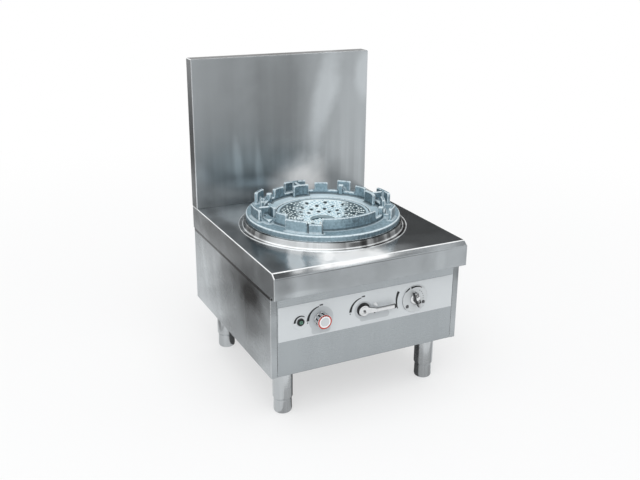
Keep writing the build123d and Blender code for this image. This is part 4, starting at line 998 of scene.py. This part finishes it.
bm = bmesh.new()
grip = rounded([(0, base), (21.8, base), (21.8, base + 2.2), (wide + 0.2, base + 2.9)], 0.7)
grip += [(wide, base + height) for height in (3.4, 4.2, 5.0, 7.0, 10.0, 13.0, 16.0, 19.0, 20.2, 20.9)]
grip += rounded([(21.0, front - 0.9), (21.0, front - 0.3), (20.4, front), (12.0, front), (0, front)], 0.4)
spun(bm, grip, 160, knobPlace, 0, scallops)
for side in bm.faces:  # painted shade, black in the valleys between the lobes
    middle = side.calc_center_median() / mm
    angle = atan2(middle.z - controls["knob"][1], middle.x - controls["knob"][0])
    if scallops(angle, panelFront - middle.y) > knobLook["scallop"] * 0.45:
        side.material_index = 1
grip = fromBmesh(bm, "regulatorGrip", [chrome, blackPlastic], 30)
settled(grip, "regulator", "chrome", "regulator_knob")
bm = bmesh.new()
band = [(16.9, front - 0.4), (16.9, front + 0.7), (17.6, front + 1.0), (19.6, front + 1.0)]
band += [(20.3, front + 0.5), (20.3, front - 0.4)]
spun(bm, rounded(band, 0.3), 96, knobPlace)
for angle in knobLook["marks"]:  # dark marks at the top of the ring
    block(bm, "knob", angle, (18.4, 0.0), (1.7, 1.5), (front + 0.9, front + 1.15), 1)
band = fromBmesh(bm, "regulatorRing", [redPlastic, blackPlastic])
settled(band, "regulator", "red_plastic", "knob_ring")
lip = (12.6, front + 0.9)
rim = [(16.7, front - 0.3), (16.7, front + 0.9), (16.0, front + 1.4), (13.4, front + 1.5), lip]
dish = [lip, (12.4, front + 0.6), (6.0, front + 0.35), (0, front + 0.3)]
runs = (rounded(rim, 0.5), 96, 0), (rounded(dish, 0.3), 96, 1)
cap = turned("regulatorCap", [palePlastic, capPlastic], knobPlace, *runs)
settled(cap, "regulator", "pale_plastic", "knob_cap")
print("regulator made")


# main gas lever
leverLook = {
    "hub": 16.0,
    "base": 3.6,
    "front": 11.6,
    "points": 20,
    "square": 0.4,
    "slotTurn": 35,
    "gasketShift": (0.6, 2.2),
    "stop": (17.4, 308.4),
}
leverPlace = outward(*controls["lever"])
leverRun = (  # distance along, half width, back, front
    (4.0, 9.0, 4.2, 10.4), (10.0, 9.8, 4.0, 11.0), (15.0, 9.3, 5.0, 12.2), (20.0, 8.2, 6.8, 13.9),
    (26.0, 7.2, 9.0, 16.0), (31.0, 6.6, 10.6, 17.5), (36.0, 6.3, 11.6, 18.4), (50.0, 6.1, 11.8, 18.5),
    (70.0, 6.1, 11.8, 18.5), (86.0, 6.3, 11.8, 18.5), (91.9, 6.4, 11.7, 18.6),
)
tipRun = (
    (92.0, 6.5, 11.6, 18.6), (94.0, 6.5, 11.6, 18.6), (97.0, 5.8, 12.0, 18.2), (99.0, 4.0, 13.0, 17.2),
    (99.9, 1.6, 14.4, 15.8),
)


def lofted(bm, run, sides, end):  # a bar of squarish sections along the lever
    x, z = controls["lever"]
    count = leverLook["points"]
    rings = []
    for along, half, back, front in run:
        ring = []
        for step in range(count):
            angle = 2 * pi * step / count
            up, out = [copysign(abs(part) ** leverLook["square"], part) for part in (cos(angle), sin(angle))]
            out = (back + front) / 2 + (front - back) / 2 * out
            ring.append(bm.verts.new(fromPanel(x + along, out, z + half * up)))
        rings.append(ring)
    bridged(bm, rings, sides, end)


bm = bmesh.new()
hub, base, front = [leverLook[key] for key in ("hub", "base", "front")]
boss = rounded([(0, base), (hub - 0.6, base), (hub, base + 0.8), (hub, front - 2.2)], 0.5)
nose = [(hub, front - 2.0), (hub - 2.4, front), (7.0, front - 0.3), (5.2, front - 0.7), (0, front - 0.7)]
spun(bm, boss + rounded(nose, 1.0), 72, leverPlace)
lofted(bm, leverRun, [2, 2] + [0] * 16 + [2, 2], 0)  # painted reflection, dark steel along its upper edge
lofted(bm, tipRun, [1] * leverLook["points"], 1)
screw = rounded([(0, 8.2), (2.0, 8.2), (3.7, 10.9), (3.7, 12.2), (2.6, 13.0), (0, 13.2)], 0.6)
spun(bm, screw, 32, leverPlace, 2)
block(bm, "lever", leverLook["slotTurn"], (0.0, 0.0), (2.9, 0.45), (12.6, 13.28), 1)  # the screw's slot
block(bm, "lever", 0, (29.3, -6.1), (1.1, 2.3), (9.0, 16.6), 1)  # dark tab under the neck
lever = fromBmesh(bm, "gasLever", [chrome, blackPlastic, darkSteel], 40)
settled(lever, "gas_lever", "chrome", "gas_lever", "lever_screw")
gasket = rounded([(12.4, 0.6), (20.0, 0.6), (20.0, 2.0), (19.0, 2.6), (12.4, 2.6)], 0.5) + [(12.4, 0.6)]
shifted = [middle + shift for middle, shift in zip(controls["lever"], leverLook["gasketShift"])]
gasket = turned("leverGasket", [blackPlastic], outward(*shifted), (gasket, 64, 0))
settled(gasket, "cabinet", "black_plastic")
peg = [(0, 0.6), (5.0, 0.6), (5.0, 1.8), (3.2, 2.4), (3.2, 8.2), (3.5, 9.0), (3.0, 10.6), (0, 11.2)]
peg = turned("leverStop", [palePlastic], outward(*leverLook["stop"]), (rounded(peg, 0.8), 32, 0))
settled(peg, "cabinet", "pale_plastic")
print("gas lever made")


# air dial: plate, screws and bar knob
dialLook = {"radius": 41.5, "face": 2.6, "bore": 6.7, "screwCircle": 32.3, "screwAngles": (219, 333)}
dialPlace = outward(*controls["dial"])
radius, face, bore = [dialLook[key] for key in ("radius", "face", "bore")]
plate = rounded([(bore, 0.6), (radius, 0.6), (radius, 1.7), (radius - 0.8, face), (38.9, face)], 0.4)
plate += [(38.6, face - 0.25), (38.2, face - 0.25), (37.9, face), (bore, face), (bore, 0.6)]
plate = turned("airDialPlate", [dialSteel], dialPlace, (plate, 128, 0), angle=30)
settled(plate, "cabinet", "stainless", "air_dial_plate")
airLook = {
    "turn": 110.0,
    "half": 26.3,
    "width": 5.6,
    "low": 8.6,
    "high": 24.0,
    "base": 3.4,
    "strips": (-0.26, -0.10, 0.06, 0.56, 0.72, 0.88),
}
barRun = (  # share of the half length, share of the width, drop of the top
    (-1.0, 0.26, 0.55), (-0.93, 0.42, 0.44), (-0.7, 0.55, 0.30), (-0.45, 0.72, 0.10), (-0.2, 0.92, 0.02),
    (0.05, 1.0, 0.0), (0.4, 0.98, 0.0), (0.75, 1.0, 0.0), (0.92, 0.94, 0.04), (0.98, 0.78, 0.12),
    (1.0, 0.55, 0.26),
)
barSection = (
    (-1.0, 0.0), (-1.0, 0.75), (-0.88, 0.93), (-0.6, 1.0), (0.6, 1.0), (0.88, 0.93), (1.0, 0.75), (1.0, 0.0),
)
turn, half, width, low, high, base, strips = airLook.values()
bm = bmesh.new()
hub = [(0, base), (16.8, base), (16.8, base + 2.6), (14.6, base + 4.6), (11.0, base + 5.8), (0, base + 6)]
spun(bm, rounded(hub, 1.2), 72, dialPlace)
along, across = panelAxes(turn)
x, z = controls["dial"]
rings = []
for share, wide, drop in barRun:
    points = []
    for side, up in barSection:
        spot = Vector((x, panelFront, z)) + along * share * half + across * side * wide * width
        spot.y -= low + (high - low) * (1 - drop) * up
        points.append(bm.verts.new(spot * mm))
    rings.append(points)
bridged(bm, rings, [1, 1, 0, 0, 0, 1, 1, 1], 0)  # chrome on top, black sides as a painted dark reflection
for share in strips:  # dark grip strips across the bar
    block(bm, "dial", turn, (share * half, 0.0), (1.15, 5.75), (13.0, 24.25), 1)
settled(fromBmesh(bm, "airKnob", [chrome, blackPlastic], 40), "air_control", "chrome", "air_knob")
print("air dial made")


# slotted screws on the dial and the rear panel
screwLook = {
    "dialScrewHeads": {"Radius": 5.2, "Height": 2.6, "Slot": 1.1},
    "rearScrewHeads": {"Radius": 4.0, "Height": 2.4, "Slot": 0.9},
}
inputs = {"Radius": "Float", "Height": "Float", "Slot": "Float", "Finish": "Material", "Dark": "Material"}
grove = Grove("screwGrove", inputs)
size, tall = grove.start["Radius"], grove.start["Height"]
cone = {"Vertices": 28, "Side Segments": 3, "Radius Top": size * 0.72, "Radius Bottom": size, "Depth": tall}
head = grove.coloured(grove.node("GeometryNodeMeshCone", cone), grove.start["Finish"])
slotSize = grove.node("ShaderNodeCombineXYZ", {0: size * 1.15, 1: grove.start["Slot"], 2: tall * 0.3})
slot = grove.node("GeometryNodeMeshCube", {"Size": slotSize})
shift = grove.node("ShaderNodeCombineXYZ", {2: tall * 0.86})
slot = grove.node("GeometryNodeTransform", {"Geometry": slot, "Translation": shift})
cross = grove.node("GeometryNodeTransform", {"Geometry": slot, "Rotation": (0, 0, pi / 2)})
slot = grove.coloured(grove.node("GeometryNodeJoinGeometry", {0: [slot, cross]}), grove.start["Dark"])
grove.close(grove.planted(grove.node("GeometryNodeJoinGeometry", {0: [head, slot]})))


def screwHeads(name, spots, facing, finish):
    heads = pointMesh(name, spots, [facing] * len(spots))
    sizes = {key: size * mm for key, size in screwLook[name].items()}
    return grove.grown(heads, {**sizes, "Finish": finish, "Dark": blackPlastic})


def roundDial(circle, angles):  # points on the dial's face
    return [dialPlace(circle, radians(angle), dialLook["face"]) for angle in angles]


spots = roundDial(dialLook["screwCircle"], dialLook["screwAngles"])
screws = screwHeads("dialScrewHeads", spots, (0, -1, 0), darkSteel)
settled(screws, "cabinet", "chrome", "dial_screws")
low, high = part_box("rear_panel_screws")
edge = screwLook["rearScrewHeads"]["Radius"] * mm
spots = []
for step in range(4):
    x = low[0] + edge + (high[0] - low[0] - 2 * edge) * step / 3
    spots.append((x, high[1] - 2.5 * mm, (low[2] + high[2]) / 2))
screws = screwHeads("rearScrewHeads", spots, (0, 1, 0), zincSteel)
settled(screws, "cabinet", "zinc_steel", "rear_panel_screws")
print("screws made")


# printed scales on the label and the dial
inkLook = {
    "label": 0.6,
    "sunk": -0.02,
    "thick": 0.10,
    "dot": 1.25,
    "dotThick": 0.2,
    "dotCircle": 28.0,
    "dotAngles": (58, 42, 26, 10, -6),
}


def arcBand(bm, control, radii, angles, widths, face, steps=28):  # tapers from one end to the other
    place = outward(*controls[control])
    low, high = face + inkLook["sunk"], face + inkLook["thick"]
    section = ((-0.5, low), (-0.5, high), (0.5, high), (0.5, low))
    rings = []
    for step in range(steps + 1):
        share = step / steps
        radius, angle, width = [start + (end - start) * share for start, end in (radii, angles, widths)]
        spots = [place(radius + width * side, radians(angle), out) for side, out in section]
        rings.append([bm.verts.new(spot) for spot in spots])
    bridged(bm, rings, [0] * 4, 0)


bm = bmesh.new()
face = inkLook["label"]
arcBand(bm, "button", (17.0, 17.4), (184, 48), (6.6, 2.2), face)
for control in ("knob", "lever"):  # quarter scale of the regulator and of the lever
    arcBand(bm, control, (39.6, 38.4), (180, 100), (8.0, 2.6), face)
    arcBand(bm, control, (40.8, 41.4), (97, 83), (3.6, 4.4), face, 8)
    arcBand(bm, control, (40.6, 40.6), (189, 184), (3.0, 3.0), face, 4)
arcBand(bm, "dial", (63.0, 59.4), (150, 200), (8.6, 2.8), face)
settled(fromBmesh(bm, "labelScales", [inkBlack], 20), "cabinet", "black_plastic")
bm = bmesh.new()
face = dialLook["face"]
arcBand(bm, "dial", (37.4, 38.0), (112, 54), (6.6, 2.0), face)
arcBand(bm, "dial", (39.4, 39.4), (140, 118), (3.2, 3.8), face, 8)
arcBand(bm, "dial", (40.6, 40.6), (118, 224), (1.8, 2.4), face - 0.2, 40)
arcBand(bm, "dial", (41.2, 41.2), (224, 478), (0.7, 0.7), face - 0.9, 60)
settled(fromBmesh(bm, "dialScales", [inkBlack], 20), "cabinet", "black_plastic")
grove = Grove("dotGrove", {"Size": "Float", "Thick": "Float"})
sizes = {"Vertices": 16, "Radius": grove.start["Size"], "Depth": grove.start["Thick"]}
grove.close(grove.planted(grove.node("GeometryNodeMeshCylinder", sizes)), inkBlack)
spots = roundDial(inkLook["dotCircle"], inkLook["dotAngles"])
dots = pointMesh("dialDots", spots, [(0, -1, 0)] * len(spots))
grove.grown(dots, {"Size": inkLook["dot"] * mm, "Thick": inkLook["dotThick"] * mm})
settled(dots, "cabinet", "black_plastic")
print("printing made")


# finishes of the solids that stay as they are
keptFinishes = {
    panelSteel: ("deck_braces",),
    zincSteel: (
        "splashback_posts", "splashback_bolts", "leg_nuts", "damper_plate", "damper_shaft", "blower_impeller",
    ),
    greyPaint: (
        "burner_plenum", "burner_stand", "air_duct", "blower_housing", "blower_motor", "motor_saddle",
    ),
    brass: ("pilot_stem", "pilot_valve", "valve_plug", "main_gas_valve", "shaft_bush", "gas_injector"),
    pipeBlack: ("gas_inlet_pipe", "burner_gas_pipe"),
    copper: ("pilot_pipe",),
    bowlIron: ("pilot_burner",),
    glazed: ("spark_electrode",),
    blackPlastic: ("button_nut", "ignition_module", "terminal_box", "power_gland"),
    leadRubber: ("wiring_leads",),
}
for finish, names in keptFinishes.items():
    for name in names:
        for slot in nodes[name].material_slots:
            slot.material = finish
print("solids finished")


# camera at the photograph's place
cameraLook = {
    "place": (-1.0828, -2.1541, 1.2812),
    "yaw": 27.887,
    "pitch": 19.751,
    "roll": 0.973,
    "lens": 47.545,
    "shift": (-0.0302, -0.0054),
}
yaw, pitch, roll = [radians(cameraLook[key]) for key in ("yaw", "pitch", "roll")]
ahead = Vector((sin(yaw) * cos(pitch), cos(yaw) * cos(pitch), -sin(pitch)))
right = Vector((cos(yaw), -sin(yaw), 0.0))
above = right.cross(ahead)
right, above = right * cos(roll) + above * sin(roll), above * cos(roll) - right * sin(roll)
lens = bpy.data.cameras.new("camera")
lens.lens = cameraLook["lens"]
lens.sensor_width = 36.0
lens.shift_x, lens.shift_y = cameraLook["shift"]
camera = linked(lens, "camera")
turn = Matrix((right, above, -ahead)).transposed().to_4x4()
camera.matrix_world = Matrix.Translation(cameraLook["place"]) @ turn
scene.camera = camera


# floor, world and lamps
stageLook = {"floor": 26.0, "drop": -0.0003, "lift": 0.55, "near": 0.9, "far": 3.2, "dim": 0.55}
white = (1, 1, 1, 1)


def seenRays(wire):  # rays from the camera, and those that metal and glass send on
    kinds = ("Is Camera Ray", "Is Glossy Ray", "Is Transmission Ray")
    return most(*[wire.node("ShaderNodeLightPath", out=kind) for kind in kinds])


def flatCard(name, middle, halfWide, halfTall, finish):
    bm = bmesh.new()
    middle, halfWide, halfTall = Vector(middle), Vector(halfWide), Vector(halfTall)
    bm.faces.new([bm.verts.new(middle + halfWide * first + halfTall * second) for first, second in square])
    card = fromBmesh(bm, name, [finish])
    return card


floorFinish = bpy.data.materials.new("paleFloor")
wire = cleared(floorFinish)
matt = wire.node("ShaderNodeBsdfDiffuse", {"Color": (0.92, 0.925, 0.93, 1)})
glow = wire.node("ShaderNodeEmission", {"Color": white, "Strength": 1.0})
x, y, z = parted(wire.node("ShaderNodeTexCoord", out="Object"))
lift = ease(reach(x, y), stageLook["near"], stageLook["far"], stageLook["lift"], 1.0)  # fades far out
both = wire.node("ShaderNodeMixShader", {0: seenRays(wire) * lift, 1: matt, 2: glow})
wire.node("ShaderNodeOutputMaterial", {"Surface": both})
half = stageLook["floor"]
flatCard("paleFloor", (0, 0, stageLook["drop"]), (half, 0, 0), (0, half, 0), floorFinish)

scene.world = bpy.data.worlds.new("studio")
wire = cleared(scene.world)
level = seenRays(wire) * (1.0 - stageLook["dim"]) + stageLook["dim"]
sky = wire.node("ShaderNodeBackground", {"Color": white, "Strength": level})
wire.node("ShaderNodeOutputWorld", {"Surface": sky})

lampLook = {  # a wide soft light from above reaches the whole floor, a smaller one shapes the casting
    "overhead": ("SUN", (-0.5, -0.9, 3.0), (0.0, 0.0, 0.4), radians(70), 1.45),
    "key": ("AREA", (-2.0, -2.4, 2.2), (0.0, -0.1, 0.4), 1.4, 14.0),
}
for name, (kind, spot, aim, size, power) in lampLook.items():
    light = bpy.data.lights.new(name, kind)
    setattr(light, "angle" if kind == "SUN" else "size", size)
    light.energy = power
    lamp = linked(light, name)
    lamp.location = spot
    lamp.rotation_euler = (Vector(aim) - Vector(spot)).to_track_quat("-Z", "Y").to_euler()
    lamp.visible_glossy = False

# cards that only the metal sees: middle, two half edges and grey level
cardLook = {
    "cardRightRear": ((2.05, 1.5, 1.15), (1.0, 0.0, 0.0), (0.0, 0.0, 0.75), 0.11),
    "cardFront": ((0.55, -1.5, 0.42), (0.40, 0.0, 0.0), (0.10, 0.0, 0.42), 0.34),
    "cardLeftFar": ((-0.60, 0.66, 0.004), (0.06, 0.0, 0.0), (0.0, 0.21, 0.0), 0.16),
    "cardLeftMiddle": ((-0.50, 0.46, 0.004), (0.04, 0.0, 0.0), (0.0, 0.24, 0.0), 0.30),
    "cardLeftNear": ((-0.42, 0.23, 0.004), (0.04, 0.0, 0.0), (0.0, 0.19, 0.0), 0.52),
    "cardFold": ((-0.98, 0.95, 0.005), (0.32, 0.0, 0.0), (0.0, 0.75, 0.0), 0.42),
    "cardLeftRear": ((-1.7, 3.1, 0.004), (0.9, 0.0, 0.0), (0.0, 1.4, 0.0), 0.16),
    # cardShade and cardUnder stand in for the shade under the cabinet in reflections
    "cardShade": ((0.02, 0.03, 0.004), (0.24, 0.0, 0.0), (0.0, 0.27, 0.0), 0.10),
    "cardSkirt": ((0.20, -0.36, 0.0035), (0.46, 0.0, 0.0), (0.0, 0.12, 0.0), 0.55),
    "cardUnder": ((0.05, 0.0, 0.07), (0.0, 0.25, 0.0), (0.0, 0.0, 0.07), 0.06),
    "cardTopLeft": ((0.20, -0.54, 2.0), (0.36, 0.0, 0.0), (0.0, 0.5, 0.0), 0.22),
    "cardTopMiddle": ((0.70, -0.54, 2.0), (0.09, 0.0, 0.0), (0.0, 0.5, 0.0), 2.2),
    "cardTopRight": ((1.00, -0.54, 2.0), (0.14, 0.0, 0.0), (0.0, 0.5, 0.0), 0.26),
    "cardTopEdge": ((1.21, -0.54, 2.0), (0.05, 0.0, 0.0), (0.0, 0.5, 0.0), 1.8),
    "cardTopEnd": ((1.55, -0.54, 2.0), (0.25, 0.0, 0.0), (0.0, 0.5, 0.0), 0.30),
}
for name, (middle, halfWide, halfTall, grey) in cardLook.items():
    finish = bpy.data.materials.new(name)
    wire = cleared(finish)
    glow = wire.node("ShaderNodeEmission", {"Color": white, "Strength": grey})
    wire.node("ShaderNodeOutputMaterial", {"Surface": glow})
    card = flatCard(name, middle, halfWide, halfTall, finish)
    card.visible_camera = card.visible_diffuse = card.visible_shadow = card.visible_transmission = False
print("stage made")
